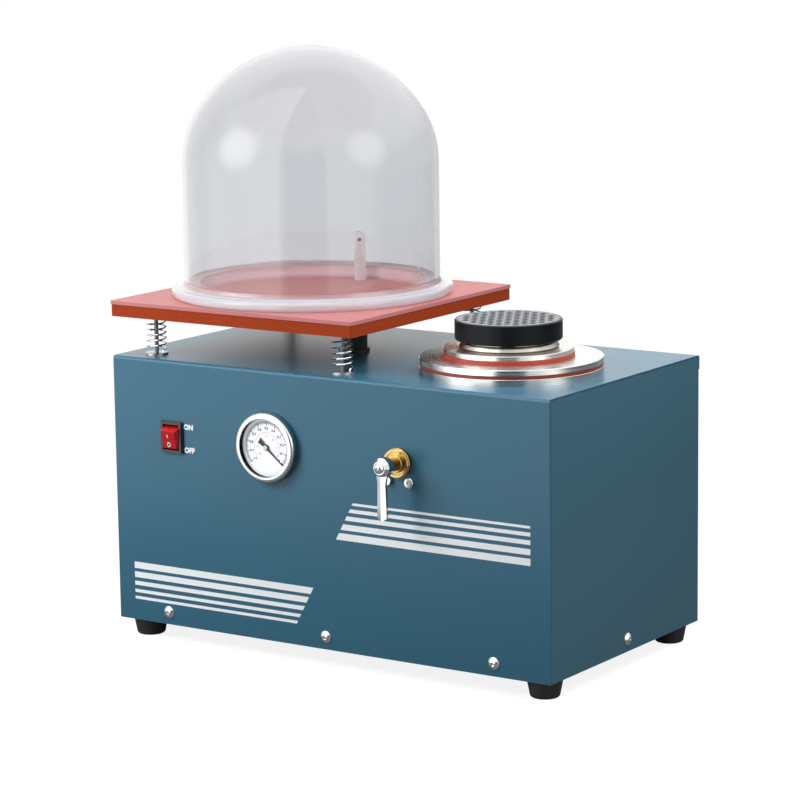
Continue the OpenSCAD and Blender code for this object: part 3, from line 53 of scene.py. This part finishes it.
cover_lo, cover_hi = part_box("cabinet_cover")
MID_Y = (cover_lo[1] + cover_hi[1]) / 2
FRONT_Y = cover_lo[1]

cap_lo, cap_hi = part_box("plug_cap")
CAP = middle(cap_lo, cap_hi)
CAP_R = (cap_hi[0] - cap_lo[0]) / 2
CAP_TOP = cap_hi[2]

CHAMBER = middle(*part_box("chamber_ring"))
FLASK_PLATE = middle(*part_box("flask_plate"))
PLUG_COLLAR = middle(*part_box("plug_collar"))

dial_lo, dial_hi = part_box("gauge_dial")
GAUGE = middle(dial_lo, dial_hi)
GAUGE.y = dial_lo[1]                    # the printed face of the dial

jar_lo, jar_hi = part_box("bell_jar")
JAR = middle(jar_lo, jar_hi)
JAR.z = jar_lo[2]                       # the jar's foot

bezel_lo, bezel_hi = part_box("switch_bezel")
ROCKER = middle(bezel_lo, bezel_hi)
ROCKER.y = FRONT_Y + 3 * MM             # the axis that the rocker tilts about
ROCKER_FACE = 10 * MM                   # from that axis to the face
ROCKER_TILT = 12                        # how far the face leans back at rest

# ---------------------------------------------------------------- camera

# Fitted to the cabinet's edges in the photo
CAMERA_TURN, CAMERA_RISE, CAMERA_ROLL = 33.95, 10.26, -0.77
CAMERA_DISTANCE = 3.0207
CAMERA_RIGHT, CAMERA_UP = -0.00502, 0.03272
FOCAL_PIXELS = 3146.78
PHOTO_PIXELS = 800
SENSOR = 36
AIM = Vector((0, MID_Y, 0.2))


def add_object(name, data):
    ob = bpy.data.objects.new(name, data)
    bpy.context.scene.collection.objects.link(ob)
    return ob


def axes(azimuth, elevation, roll):
    """The camera's directions right, up and back, with azimuth measured from the front."""
    a, e, r = (math.radians(v) for v in (azimuth, elevation, roll))
    back = Vector((math.sin(a) * math.cos(e), -math.cos(a) * math.cos(e), math.sin(e)))
    right = Vector((math.cos(a), math.sin(a), 0))
    up = back.cross(right)
    return (math.cos(r) * right + math.sin(r) * up,
            -math.sin(r) * right + math.cos(r) * up, back)


def add_camera():
    right, up, back = axes(CAMERA_TURN, CAMERA_RISE, CAMERA_ROLL)
    cam = bpy.data.cameras.new("view")
    cam.sensor_width = SENSOR
    cam.lens = FOCAL_PIXELS / PHOTO_PIXELS * SENSOR
    cam.clip_start = 0.1
    cam.clip_end = 50
    place = Matrix((right, up, back)).transposed().to_4x4()
    place.translation = AIM + CAMERA_DISTANCE * back + CAMERA_RIGHT * right + CAMERA_UP * up
    ob = add_object("view", cam)
    ob.matrix_world = place
    bpy.context.scene.camera = ob


# ---------------------------------------------------------------- material kit


def lin(hex_color):
    """An sRGB colour written as "4a6e84", as linear RGBA."""
    c = [int(hex_color[i:i + 2], 16) / 255 for i in (0, 2, 4)]
    return [x / 12.92 if x <= 0.04045 else ((x + 0.055) / 1.055) ** 2.4 for x in c] + [1.0]


class Graph:
    """The emptied node tree of a material or a world, with helpers that add nodes to it."""

    def __init__(self, owner):
        owner.use_nodes = True
        self.tree = owner.node_tree
        self.tree.nodes.clear()

    def node(self, kind, **props):
        n = self.tree.nodes.new(kind)
        for key, value in props.items():
            setattr(n, key, value)
        return n

    def put(self, value, socket):
        """Links one socket to another, or writes a plain value into it."""
        if isinstance(value, bpy.types.NodeSocket):
            self.tree.links.new(value, socket)
        else:
            socket.default_value = value

    def math(self, op, a, b=0.0):
        n = self.node("ShaderNodeMath", operation=op)
        self.put(a, n.inputs[0])
        self.put(b, n.inputs[1])
        return n.outputs[0]

    def add(self, a, b):
        return self.math("ADD", a, b)

    def times(self, a, b):
        return self.math("MULTIPLY", a, b)

    def ramp(self, value, lo, hi, out_lo=0.0, out_hi=1.0):
        """A smooth step from out_lo at lo to out_hi at hi."""
        n = self.node("ShaderNodeMapRange", interpolation_type="SMOOTHSTEP")
        self.put(value, n.inputs["Value"])
        for key, v in (("From Min", lo), ("From Max", hi), ("To Min", out_lo), ("To Max", out_hi)):
            n.inputs[key].default_value = v
        return n.outputs["Result"]

    def split(self, vector):
        n = self.node("ShaderNodeSeparateXYZ")
        self.put(vector, n.inputs[0])
        return n.outputs

    def seen_direct(self):
        """One on rays from the camera, straight or through glass."""
        path = self.node("ShaderNodeLightPath").outputs
        return self.math("MAXIMUM", path["Is Camera Ray"], path["Is Transmission Ray"])


class Shader(Graph):
    """One Principled material whose colour, gloss and bump are procedural."""

    def __init__(self, name, color, rough, metallic=0.0, **sockets):
        self.mat = bpy.data.materials.new(name)
        super().__init__(self.mat)
        self.color = lin(color)
        self.bsdf = self.node("ShaderNodeBsdfPrincipled")
        sockets.update(Base_Color=self.color, Roughness=rough, Metallic=metallic)
        for key, value in sockets.items():
            self.put(value, self.socket(key))
        out = self.node("ShaderNodeOutputMaterial")
        self.put(self.bsdf.outputs[0], out.inputs["Surface"])
        self.coords = self.node("ShaderNodeTexCoord").outputs["Object"]

    def socket(self, key):
        return self.bsdf.inputs[key.replace("_", " ")]

    def stretched(self, sx, sy, sz):
        n = self.node("ShaderNodeVectorMath", operation="MULTIPLY")
        self.put(self.coords, n.inputs[0])
        n.inputs[1].default_value = (sx, sy, sz)
        return n.outputs[0]

    def noise(self, scale, detail, coords=None):
        n = self.node("ShaderNodeTexNoise")
        n.inputs["Scale"].default_value = scale
        n.inputs["Detail"].default_value = detail
        n.inputs["Roughness"].default_value = 0.55
        self.put(coords or self.coords, n.inputs["Vector"])
        return n.outputs["Fac"]

    def mix(self, fac, a, b):
        n = self.node("ShaderNodeMix", data_type="RGBA")
        self.put(fac, n.inputs["Factor"])
        self.put(a, n.inputs[6])
        self.put(b, n.inputs[7])
        return n.outputs[2]

    def shade(self, k):
        return [min(1.0, c * k) for c in self.color[:3]] + [1.0]

    def tint(self, fac, dark, light):
        """Colour between two shades of the base colour."""
        self.paint(self.mix(fac, self.shade(dark), self.shade(light)))

    def paint(self, color):
        self.put(color, self.socket("Base Color"))

    def gloss(self, fac, lo, hi):
        """Roughness between lo and hi; most of a noise lies between 0.3 and 0.7."""
        self.put(self.ramp(fac, 0.3, 0.7, lo, hi), self.socket("Roughness"))

    def bump(self, height, strength, distance):
        n = self.node("ShaderNodeBump")
        n.inputs["Strength"].default_value = strength
        n.inputs["Distance"].default_value = distance
        self.put(height, n.inputs["Height"])
        self.put(n.outputs["Normal"], self.socket("Normal"))

    def reach(self, a, a0, b, b0):
        """Distance from the axis at a0, b0."""
        da = self.math("SUBTRACT", a, a0)
        db = self.math("SUBTRACT", b, b0)
        return self.math("SQRT", self.add(self.times(da, da), self.times(db, db)))

    def rings(self, centre, scale, detail):
        """Noise that runs in circles round a vertical axis and in lines round its rims."""
        x, y, z = self.split(self.coords)
        n = self.node("ShaderNodeTexNoise", noise_dimensions="1D")
        self.put(self.add(self.reach(x, centre.x, y, centre.y), self.times(z, 0.77)), n.inputs["W"])
        n.inputs["Scale"].default_value = scale
        n.inputs["Detail"].default_value = detail
        return n.outputs["Fac"]

    def let_light_through(self, left):
        """Clear plastic casts a shadow of only this strength on what is behind it."""
        shadow = self.node("ShaderNodeLightPath").outputs["Is Shadow Ray"]
        self.put(self.ramp(shadow, 0.0, 1.0, 1.0, left), self.socket("Alpha"))


# ---------------------------------------------------------------- kinds of material


def powder_paint(name, color):
    """Fine orange peel over sheet steel, with faint cloudiness."""
    s = Shader(name, color, 0.3, Specular_IOR_Level=0.3)
    s.tint(s.noise(900, 3), 0.98, 1.02)
    s.gloss(s.noise(600, 2), 0.29, 0.32)
    s.bump(s.noise(1300, 2), 0.05, 0.0001)
    return s.mat


def turned_steel(name, color, centre, rough, depth=0.25):
    """Grooves run round the axis through centre, so a highlight spreads across them."""
    s = Shader(name, color, rough, metallic=1.0, Anisotropic=0.85, Anisotropic_Rotation=0.25)
    along = s.node("ShaderNodeTangent", direction_type="RADIAL", axis="Z")
    s.put(along.outputs[0], s.socket("Tangent"))
    grain = s.rings(centre, 2600, 3)
    s.tint(grain, 0.88, 1.1)
    s.gloss(s.rings(centre, 700, 2), rough * 0.85, rough * 1.25)
    s.bump(grain, depth, 0.00004)
    return s.mat


def drawn_metal(name, color, rough, stretch=(60, 60, 900), var=(0.88, 1.1), depth=0.2, metal=1.0):
    """Metal with a grain that lies across the axis of the largest stretch."""
    s = Shader(name, color, rough, metallic=metal)
    grain = s.noise(1.0, 4, s.stretched(*stretch))
    s.tint(grain, *var)
    s.gloss(s.noise(70, 4), rough * 0.75, rough * 1.3)
    s.bump(grain, depth, 0.00005)
    return s.mat


def moulded(name, color, rough, grain=1400, depth=0.2, var=(0.9, 1.12)):
    """Plastic, rubber or cast paint with a fine grain."""
    s = Shader(name, color, rough)
    s.tint(s.noise(35, 4), *var)
    s.gloss(s.noise(90, 3), rough * 0.85, rough * 1.2)
    s.bump(s.noise(grain, 3), depth, 0.00012)
    return s.mat


def cut_laminate(name, color):
    """Phenolic board: fine fibre specks on its faces, thin plies along its sawn edges."""
    s = Shader(name, color, 0.5, Specular_IOR_Level=0.1)
    plies = s.noise(1.0, 3, s.stretched(14, 14, 2600))
    fibres = s.noise(420, 4)
    both = s.add(s.times(plies, 0.55), s.times(fibres, 0.45))
    s.tint(s.ramp(both, 0.3, 0.7), 0.84, 1.14)
    s.gloss(fibres, 0.42, 0.6)
    s.bump(plies, 0.25, 0.0001)
    return s.mat


def silicone_sheet(name, color):
    """Smooth silicone sheet: cloudy pigment, fine dust and a dull gloss."""
    s = Shader(name, color, 0.52, Specular_IOR_Level=0.2)
    s.tint(s.noise(14, 3), 0.96, 1.04)
    s.gloss(s.noise(60, 2), 0.48, 0.56)
    s.bump(s.noise(900, 1), 0.03, 0.00005)
    return s.mat


def netted_cap(name):
    """Near black moulding; the top faces of the web between its pockets are painted pale grey, a
    painted sheen.
    """
    s = Shader(name, "1c1d20", 0.42, Specular_IOR_Level=0.12)
    x, y, z = s.split(s.coords)
    top = s.ramp(z, CAP_TOP - 0.9 * MM, CAP_TOP - 0.35 * MM)
    rim = CAP_R - 3 * MM
    inside = s.ramp(s.reach(x, CAP.x, y, CAP.y), rim, rim + 0.5 * MM, 1.0, 0.25)
    grain = s.noise(500, 3)
    # painted sheen: the web's top faces are coloured pale grey; the sides and pockets keep near
    # black
    net_sheen = s.mix(grain, lin("6c6f73"), lin("94979b"))
    side = s.mix(s.noise(30, 4), lin("08090a"), lin("101113"))
    s.paint(s.mix(s.times(top, inside), side, net_sheen))
    s.gloss(s.noise(120, 3), 0.34, 0.5)
    s.bump(grain, 0.2, 0.0001)
    return s.mat


def clear_acrylic(name):
    """A faintly smoky dome with slow waves, over a flange with a sawn, milky edge.

    The flange's mouth is a little milky too, and painted pink there as a painted reflection of the
    mat that it stands on.
    """
    s = Shader(name, "f7f8fa", 0.012, Transmission_Weight=1.0, IOR=1.49)
    x, y, z = s.split(s.coords)
    reach = s.reach(x, JAR.x, y, JAR.y)
    flange = s.ramp(z, JAR.z + 10 * MM, JAR.z + 19 * MM, 1.0, 0.0)
    edge = s.times(flange, s.ramp(reach, 123 * MM, 128 * MM))
    mouth = s.times(flange, s.ramp(reach, 118 * MM, 121 * MM, 1.0, 0.0))
    smoke = s.mix(s.noise(5, 2), lin("e0e1e4"), lin("e6e7ea"))
    # the pink of the mouth is a painted reflection of the mat; the grey of the edge is its sawn,
    # milky face
    s.paint(s.mix(mouth, s.mix(edge, smoke, lin("d5d8de")), lin("efcccc")))
    milk = s.add(s.times(edge, 0.65), s.times(mouth, 0.6))
    s.put(s.ramp(milk, 0.0, 1.0, 1.0, 0.0), s.socket("Transmission Weight"))
    s.bump(s.noise(22, 1), 0.03, 0.0008)
    s.let_light_through(0.1)
    return s.mat


def gauge_rim(name):
    """Polished steel whose wall round the dial, behind the front lip, is painted near black as
    painted shade.
    """
    s = Shader(name, "c0c0be", 0.24, metallic=1.0)
    x, y, z = s.split(s.coords)
    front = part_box("gauge_bezel")[0][1]
    # painted shade: the wall round the dial behind the front lip is coloured near black
    painted_shade_wall = s.times(s.ramp(s.reach(x, GAUGE.x, z, GAUGE.z), 30.0 * MM, 30.3 * MM, 1.0, 0.0),
                    s.ramp(y, front + 0.8 * MM, front + 1.2 * MM))
    steel = s.mix(s.noise(200, 4), lin("b9b9b7"), lin("c8c8c6"))
    s.paint(s.mix(painted_shade_wall, steel, lin("1a1b1e")))
    s.gloss(s.noise(70, 4), 0.18, 0.3)
    return s.mat


def gauge_pane(name):
    """Thin clear pane that hardly bends the view of the dial."""
    s = Shader(name, "ffffff", 0.01, Transmission_Weight=1.0, IOR=1.12)
    s.tint(s.noise(12, 2), 0.97, 1.0)
    s.let_light_through(0.05)
    return s.mat


def printed(name, color, rough=0.4):
    """Ink with a faint, fine grain."""
    s = Shader(name, color, rough)
    s.tint(s.noise(900, 3), 0.95, 1.02)
    s.bump(s.noise(1500, 2), 0.1, 0.00005)
    return s.mat


# ---------------------------------------------------------------- looks of the CAD pieces

PAINT = powder_paint("cabinet_paint", "34647b")
# painted sheen: the side and rear panels take a greyer copy of the cabinet's blue paint
SIDE_PAINT_WITH_SHEEN = powder_paint("side_paint", "3e6779")
ZINC = drawn_metal("zinc_plate", "b4b6b6", 0.38, (40, 900, 40))
SCREW = drawn_metal("screw_steel", "d8d8d8", 0.2, (500, 500, 500), (0.95, 1.04), 0.06)
BRASS = drawn_metal("valve_brass", "b79d68", 0.24, (300, 300, 300))
LOOKS = {
    # cabinet
    "cabinet_cover": PAINT,
    "side_panel_left": SIDE_PAINT_WITH_SHEEN,
    "side_panel_right": SIDE_PAINT_WITH_SHEEN,
    "rear_panel": SIDE_PAINT_WITH_SHEEN,
    "base_pan": ZINC,
    "cover_screws": SCREW,
    "side_screws": SCREW,
    "rear_screws": SCREW,
    "rubber_feet": moulded("foot_rubber", "1d1b1a", 0.62, grain=900, depth=0.4),
    "foot_screws": SCREW,
    # switch and gauge
    "switch_bezel": moulded("switch_black", "141416", 0.3),
    "switch_rocker": moulded("rocker_red", "be1015", 0.26, depth=0.05, var=(0.94, 1.04)),
    "gauge_case": gauge_rim("gauge_steel"),
    "gauge_bezel": gauge_rim("gauge_chrome"),
    "gauge_dial": moulded("dial_white", "eef3fb", 0.5, depth=0.05, var=(0.98, 1.0)),
    "gauge_lens": gauge_pane("gauge_glass"),
    "gauge_pointer": moulded("pointer_black", "2a2b2e", 0.45),
    "gauge_movement": BRASS,
    # valve
    "valve_body": BRASS,
    "valve_collar": drawn_metal("collar_brass", "b89a62", 0.22, (90, 900, 90), (0.94, 1.05), 0.08),
    "valve_bracket": ZINC,
    "bracket_screws": SCREW,
    "valve_plug": drawn_metal("plug_steel", "a8aaac", 0.3),
    "valve_lever": drawn_metal("lever_chrome", "c6c8cc", 0.1, (50, 50, 50), (0.96, 1.03), 0.02),
    "lever_screw": SCREW,
    # table and jar
    "table_board": cut_laminate("board_laminate", "9c3c1c"),
    "table_mat": silicone_sheet("mat_rubber", "c07d7c"),
    "table_manifold": moulded("manifold_black", "1a1a1c", 0.45),
    "stand_pipe": drawn_metal("pipe_steel", "e6e6e8", 0.14, (300, 300, 25), (0.95, 1.03), 0.05,
                              metal=0.45),
    "guide_rods": drawn_metal("rod_steel", "6c6e70", 0.35),
    "rod_nuts": SCREW,
    "rod_bushes": drawn_metal("bush_steel", "b8bac0", 0.3),
    "table_springs": drawn_metal("spring_steel", "d8dadc", 0.2, (700, 700, 700)),
    "table_hose": moulded("hose_black", "131314", 0.5, grain=600, depth=0.3),
    "hose_bulkhead": moulded("bulkhead_black", "1c1c1e", 0.4),
    "bell_jar": clear_acrylic("jar_acrylic"),
    # casting chamber
    "chamber_ring": turned_steel("ring_steel", "cbc9c5", CHAMBER, 0.19),
    "chamber_can": turned_steel("can_steel", "bcbec0", CHAMBER, 0.3),
    "ring_gasket": moulded("gasket_red", "8e2d1c", 0.4, grain=700),
    "adapter_plate": turned_steel("adapter_steel", "d6d4d0", CHAMBER, 0.24),
    "flask_gasket": moulded("flask_gasket_red", "9e3424", 0.4, grain=700),
    "flask_plate": turned_steel("flask_steel", "d0cdc7", FLASK_PLATE, 0.28),
    "plug_collar": turned_steel("plug_polished", "aaa69c", PLUG_COLLAR, 0.16, 0.3),
    "plug_cap": netted_cap("cap_black"),
    # pump and lines inside
    "motor_housing": moulded("motor_grey", "6a6e72", 0.5, grain=500, depth=0.5),
    "motor_cowl": moulded("cowl_black", "26282a", 0.45),
    "pump_block": moulded("pump_paint", "3a6ea5", 0.42, grain=400, depth=0.5),
    "pump_feet": moulded("pump_feet_black", "242628", 0.5),
    "pump_screws": SCREW,
    "motor_shaft": drawn_metal("shaft_steel", "a0a2a4", 0.3),
    "cooling_fan": moulded("fan_nylon", "dcd6c4", 0.5),
    "pump_hose": moulded("line_tube", "c8bb98", 0.4),
    "table_line": moulded("line_tube_table", "c8bb98", 0.4),
    "chamber_line": moulded("line_tube_chamber", "c8bb98", 0.4),
    "gauge_line": moulded("gauge_tube_black", "1a1a1c", 0.4),
    "power_inlet": moulded("inlet_black", "171719", 0.4),
    "inlet_pins": drawn_metal("pin_nickel", "d0cdc4", 0.25),
    "oil_glass": moulded("oil_amber", "c98f24", 0.15),
}
for name, mat in LOOKS.items():
    ob = NODES[name]
    if not ob.material_slots:
        ob.data.materials.append(mat)
    for slot in ob.material_slots:
        slot.material = mat


# ---------------------------------------------------------------- printed marks

WHITE_INK = printed("white_ink", "f8fbff", 0.5)
BLACK_INK = printed("black_ink", "2a2c30")
RED_INK = printed("red_ink", "c0605c")
INK_Y = FRONT_Y - 0.06 * MM             # the printed face on the cabinet's front


def add_piece(name, bm, mat, body, move=None):
    bmesh.ops.recalc_face_normals(bm, faces=bm.faces[:])
    mesh = bpy.data.meshes.new(name)
    bm.to_mesh(mesh)
    bm.free()
    if move:
        mesh.transform(move)
    mesh.materials.clear()
    mesh.materials.append(mat)
    ob = add_object(name, mesh)
    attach(ob, body)


def prism(bm, outline, y0, y1):
    """A flat piece drawn in X and Z, from y0 back to y1."""
    front = [bm.verts.new((x, y0, z)) for x, z in outline]
    back = [bm.verts.new((x, y1, z)) for x, z in outline]
    n = len(outline)
    bm.faces.new(front)
    bm.faces.new(back[::-1])
    for i in range(n):
        j = (i + 1) % n
        bm.faces.new((front[j], front[i], back[i], back[j]))


def add_word(bm, text, x, z, size, y, bold, align="CENTER"):
    curve = bpy.data.curves.new("word", "FONT")
    curve.body = text
    curve.size = size
    curve.align_x = align
    curve.align_y = "CENTER"
    curve.offset = bold
    curve.resolution_u = 3
    curve.extrude = 0.03 * MM
    ob = add_object("word", curve)
    bpy.context.view_layer.update()
    drawn = ob.evaluated_get(bpy.context.evaluated_depsgraph_get())
    mesh = bpy.data.meshes.new_from_object(drawn)
    mesh.transform(Matrix.Translation((x, y, z)) @ Matrix.Rotation(math.pi / 2, 4, "X"))
    bm.from_mesh(mesh)
    bpy.data.objects.remove(ob)
    bpy.data.curves.remove(curve)
    bpy.data.meshes.remove(mesh)


# Lower and upper edge of each stripe in mm, as read from the photo, where the cabinet's sheet
# went from 20 mm up over 257.5 mm; it is built from 18 mm up over 259 mm.
LOW_STRIPES = [(70.8, 77.2), (61.9, 67.6), (54.2, 58.3), (47.0, 50.2), (40.5, 43.3)]
HIGH_STRIPES = [(160.1, 162.5), (153.0, 156.5), (145.3, 149.5), (136.0, 141.6), (126.3, 132.8)]
STRIPE_SLANT = 0.541                    # mm sideways for each mm up
READ_FOOT, READ_RISE = 20, 257.5
FOOT, RISE = 18, 259


def slanted(x, z_of_x, heights):
    return [x + (z - z_of_x) * STRIPE_SLANT for z in heights]


def add_stripes():
    """Two fans of white stripes, each stripe with one square and one slanted end."""
    bm = bmesh.new()
    for heights in LOW_STRIPES:
        draw_stripe(bm, heights, (-226, -226), slanted(-12.4, 78.8, heights))
    for heights in HIGH_STRIPES:
        draw_stripe(bm, heights, slanted(33.1, 162.5, heights), (224.5, 224.5))
    add_piece("front_stripes", bm, WHITE_INK, "cabinet")


def draw_stripe(bm, heights, lefts, rights):
    z0, z1 = (FOOT + (z - READ_FOOT) * RISE / READ_RISE for z in heights)
    corners = [(lefts[0], z0), (rights[0], z0), (rights[1], z1), (lefts[1], z1)]
    prism(bm, [(x * MM, z * MM) for x, z in corners], INK_Y, FRONT_Y + 0.1 * MM)


def add_legend():
    bm = bmesh.new()
    for text, x, z in (("ON", -0.1613, 0.2142), ("OFF", -0.1611, 0.1919)):
        add_word(bm, text, x, z, 6.8 * MM, INK_Y, 0.4 * MM, "LEFT")
    add_piece("switch_legend", bm, WHITE_INK, "cabinet")


BAR = ((-1.4, 2.2), (-0.4, 2.2), (-0.4, 5.6), (-1.4, 5.6))     # the I, as x and z in mm
OVAL_X, OVAL_Z = -0.4, -4.6                                    # the middle of the O
OVAL_INNER, OVAL_OUTER = 1.3, 2.1
OVAL_TALL = 1.25
OVAL_STEPS = 24


def add_rocker_marks():
    """I and O on the rocker's face, drawn upright about its axis and then leant back with it."""
    bm = bmesh.new()
    y0 = -ROCKER_FACE - 0.05 * MM
    y1 = y0 + 0.1 * MM
    prism(bm, [(x * MM, z * MM) for x, z in BAR], y0, y1)
    for i in range(OVAL_STEPS):
        t0, t1 = (2 * math.pi * k / OVAL_STEPS for k in (i, i + 1))
        corners = [(OVAL_INNER, t0), (OVAL_OUTER, t0), (OVAL_OUTER, t1), (OVAL_INNER, t1)]
        prism(bm, [((OVAL_X + r * math.cos(t)) * MM, (OVAL_Z + OVAL_TALL * r * math.sin(t)) * MM)
                   for r, t in corners], y0, y1)
    lean = Matrix.Translation(ROCKER) @ Matrix.Rotation(math.radians(ROCKER_TILT), 4, "X")
    add_piece("rocker_marks", bm, WHITE_INK, "rocker", lean)


def polar(r, degrees):
    """X and Z of a point at r mm from the gauge's axis."""
    t = math.radians(degrees)
    return GAUGE.x + r * MM * math.cos(t), GAUGE.z + r * MM * math.sin(t)


def add_pointer_boss():
    """A small disc over the pointer's shaft."""
    bm = bmesh.new()
    steps = 32
    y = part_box("gauge_pointer")[0][1]
    prism(bm, [polar(2.3, 360 * i / steps) for i in range(steps)], y - 0.5 * MM, y + 0.2 * MM)
    add_piece("pointer_boss", bm, SCREW, "pointer")


SCALE_START, SCALE_SPAN = -40, 260      # the zero's place on the dial and the way to the last mark
DIAL_INK = (GAUGE.y - 0.04 * MM, GAUGE.y + 0.02 * MM)


def along(i, n):
    return SCALE_START + SCALE_SPAN * i / n


def add_tick(bm, degrees, r0, r1, w):
    t = math.radians(degrees)
    sx, sz = -math.sin(t) * w * MM / 2, math.cos(t) * w * MM / 2
    (ax, az), (bx, bz) = polar(r0, degrees), polar(r1, degrees)
    prism(bm, [(ax - sx, az - sz), (bx - sx, bz - sz), (bx + sx, bz + sz), (ax + sx, az + sz)],
          *DIAL_INK)


def add_arc(bm, r, w, steps=64):
    for i in range(steps):
        b0, b1 = along(i, steps), along(i + 1, steps)
        prism(bm, [polar(r - w / 2, b0), polar(r + w / 2, b0), polar(r + w / 2, b1),
                   polar(r - w / 2, b1)], *DIAL_INK)


def add_dial_scale():
    """Two plain number scales, black outside and red inside, that count up anticlockwise."""
    bm = bmesh.new()
    for i in range(101):
        if i % 10 == 0:
            start, width = 20.6, 0.7
        elif i % 5 == 0:
            start, width = 21.4, 0.42
        else:
            start, width = 22.2, 0.42
        add_tick(bm, along(i, 100), start, 24.2, width)
    add_arc(bm, 24.3, 0.4)
    for i in range(11):
        x, z = polar(18.0, along(i, 10))
        add_word(bm, "0" if i == 0 else "%.1f" % (0.1 * i), x, z, 3.6 * MM, DIAL_INK[0], 0.12 * MM)
    add_piece("dial_scale", bm, BLACK_INK, "cabinet")

    bm = bmesh.new()
    for i in range(31):
        add_tick(bm, along(i, 30), 12.6 if i % 5 == 0 else 13.2, 14.2, 0.36)
    add_arc(bm, 14.3, 0.34)
    for i in range(7):
        x, z = polar(10.6, along(i, 6))
        add_word(bm, str(5 * i), x, z, 2.8 * MM, DIAL_INK[0], 0.06 * MM)
    add_piece("dial_scale_inner", bm, RED_INK, "cabinet")


# ---------------------------------------------------------------- studio

# What the shiny parts see. A sector is given in degrees round from the front, positive to the
# right: gone before the first, full between the next two, gone after the last.
WALLS = (((-80, -50, 5, 11), 1.25), ((-34, -16, 5, 11), 0.4), ((44, 50, 70, 86), 0.35))
DARK_GAP = (9, 16, 46, 53)
GAP_DEPTH = 0.93
DIM_RIGHT = (84, 110, 181, 182)         # ends at 180, and goes on from -180 to DIM_RIGHT_END
DIM_RIGHT_END = (-170, -156)
DIM_UNDER = (84, 104, 170, 179)
# Direction, width in degrees and strength of the two round soft boxes
SOFT_BOXES = (((-0.543, -0.780, 0.309), 25, 4.3), ((0.951, -0.017, 0.309), 24, 2.9))
SOFT_LIGHT = 0.24                       # what reaches dull surfaces from all round


def studio_world():
    """White behind the object; in reflections, soft boxes with a dark gap between them."""
    world = bpy.data.worlds.new("studio")
    bpy.context.scene.world = world
    g = Graph(world)
    heading = g.node("ShaderNodeTexCoord").outputs["Generated"]
    x, y, z = g.split(heading)
    turn = g.math("ARCTAN2", x, g.times(y, -1.0))

    def soft_box(to, width):
        n = g.node("ShaderNodeVectorMath", operation="DOT_PRODUCT")
        g.put(heading, n.inputs[0])
        n.inputs[1].default_value = Vector(to).normalized()
        return g.ramp(n.outputs["Value"], math.cos(math.radians(width)), math.cos(math.radians(1)))

    def fade(start, end, out_lo=0.0, out_hi=1.0):
        return g.ramp(turn, math.radians(start), math.radians(end), out_lo, out_hi)

    def sector(a0, a1, b0, b1):
        return g.times(fade(a0, a1), fade(b0, b1, 1.0, 0.0))

    level = g.ramp(y, -0.4, 0.5, 0.95, 1.35)
    for angles, strength in WALLS:
        level = g.add(level, g.times(sector(*angles), strength))
    level = g.add(level, g.ramp(z, 0.3, 0.8, 0.0, 0.6))
    right = g.times(g.add(sector(*DIM_RIGHT), fade(*DIM_RIGHT_END, 1.0, 0.0)),
                    g.ramp(z, 0.1, 0.4, 0.7, 0.0))
    under = g.times(sector(*DIM_UNDER), g.ramp(z, -0.12, 0.0, 0.75, 0.0))
    for dim in (right, under):
        level = g.times(level, g.math("SUBTRACT", 1.0, dim))
    for to, width, strength in SOFT_BOXES:
        level = g.add(level, g.times(soft_box(to, width), strength))
    gap = g.times(sector(*DARK_GAP), g.ramp(z, 0.2, 0.5, 1.0, 0.0))
    level = g.times(level, g.math("SUBTRACT", 1.0, g.times(gap, GAP_DEPTH)))

    def light(strength):
        n = g.node("ShaderNodeBackground")
        n.inputs["Color"].default_value = (1, 1, 1, 1)
        g.put(strength, n.inputs["Strength"])
        return n.outputs[0]

    def choose(fac, a, b):
        n = g.node("ShaderNodeMixShader")
        for i, v in enumerate((fac, a, b)):
            g.put(v, n.inputs[i])
        return n.outputs[0]

    glossy = g.node("ShaderNodeLightPath").outputs["Is Glossy Ray"]
    lit = choose(glossy, light(SOFT_LIGHT), light(level))
    out = g.node("ShaderNodeOutputWorld")
    g.put(choose(g.seen_direct(), lit, light(1.0)), out.inputs["Surface"])


FLOOR_HALF = 0.64                       # half of its side
FLOOR_GREY = 0.25
FLOOR_LIFT = 0.87                       # what makes the lit floor white to the camera


def add_floor():
    """A dull floor that keeps the object's shadow and is white round it."""
    mesh = bpy.data.meshes.new("floor")
    r = FLOOR_HALF
    mesh.from_pydata([(-r, -r, 0), (r, -r, 0), (r, r, 0), (-r, r, 0)], [], [(0, 1, 2, 3)])
    ob = add_object("floor", mesh)
    mat = bpy.data.materials.new("floor_white")
    g = Graph(mat)
    diffuse = g.node("ShaderNodeBsdfDiffuse")
    diffuse.inputs["Color"].default_value = (FLOOR_GREY, FLOOR_GREY, FLOOR_GREY, 1)
    glow = g.node("ShaderNodeEmission")
    g.put(g.times(g.seen_direct(), FLOOR_LIFT), glow.inputs["Strength"])
    both = g.node("ShaderNodeAddShader")
    g.put(diffuse.outputs[0], both.inputs[0])
    g.put(glow.outputs[0], both.inputs[1])
    out = g.node("ShaderNodeOutputMaterial")
    g.put(both.outputs[0], out.inputs["Surface"])
    mesh.materials.append(mat)


# Name, place, watts, width and height; none of them shows in a reflection
LAMPS = (
    ("key", (-0.7, -0.87, 0.86), 13.5, 0.6, 0.6),
    ("top", (0.2, 0.1, 1.6), 7, 1.2, 1.0),
    ("right_fill", (0.75, -0.1, 0.9), 6.6, 0.6, 0.6),
)


def add_lamp(name, place, power, width, height):
    lamp = bpy.data.lights.new(name, "AREA")
    lamp.shape = "RECTANGLE"
    lamp.size = width
    lamp.size_y = height
    lamp.energy = power
    ob = add_object(name, lamp)
    ob.location = place
    ob.rotation_euler = (AIM - Vector(place)).to_track_quat("-Z", "Y").to_euler()
    ob.visible_glossy = False
    ob.visible_transmission = False


add_camera()
add_stripes()
add_legend()
add_dial_scale()
add_rocker_marks()
add_pointer_boss()
studio_world()
add_floor()
for lamp in LAMPS:
    add_lamp(*lamp)
bpy.context.scene.view_settings.view_transform = "Standard"
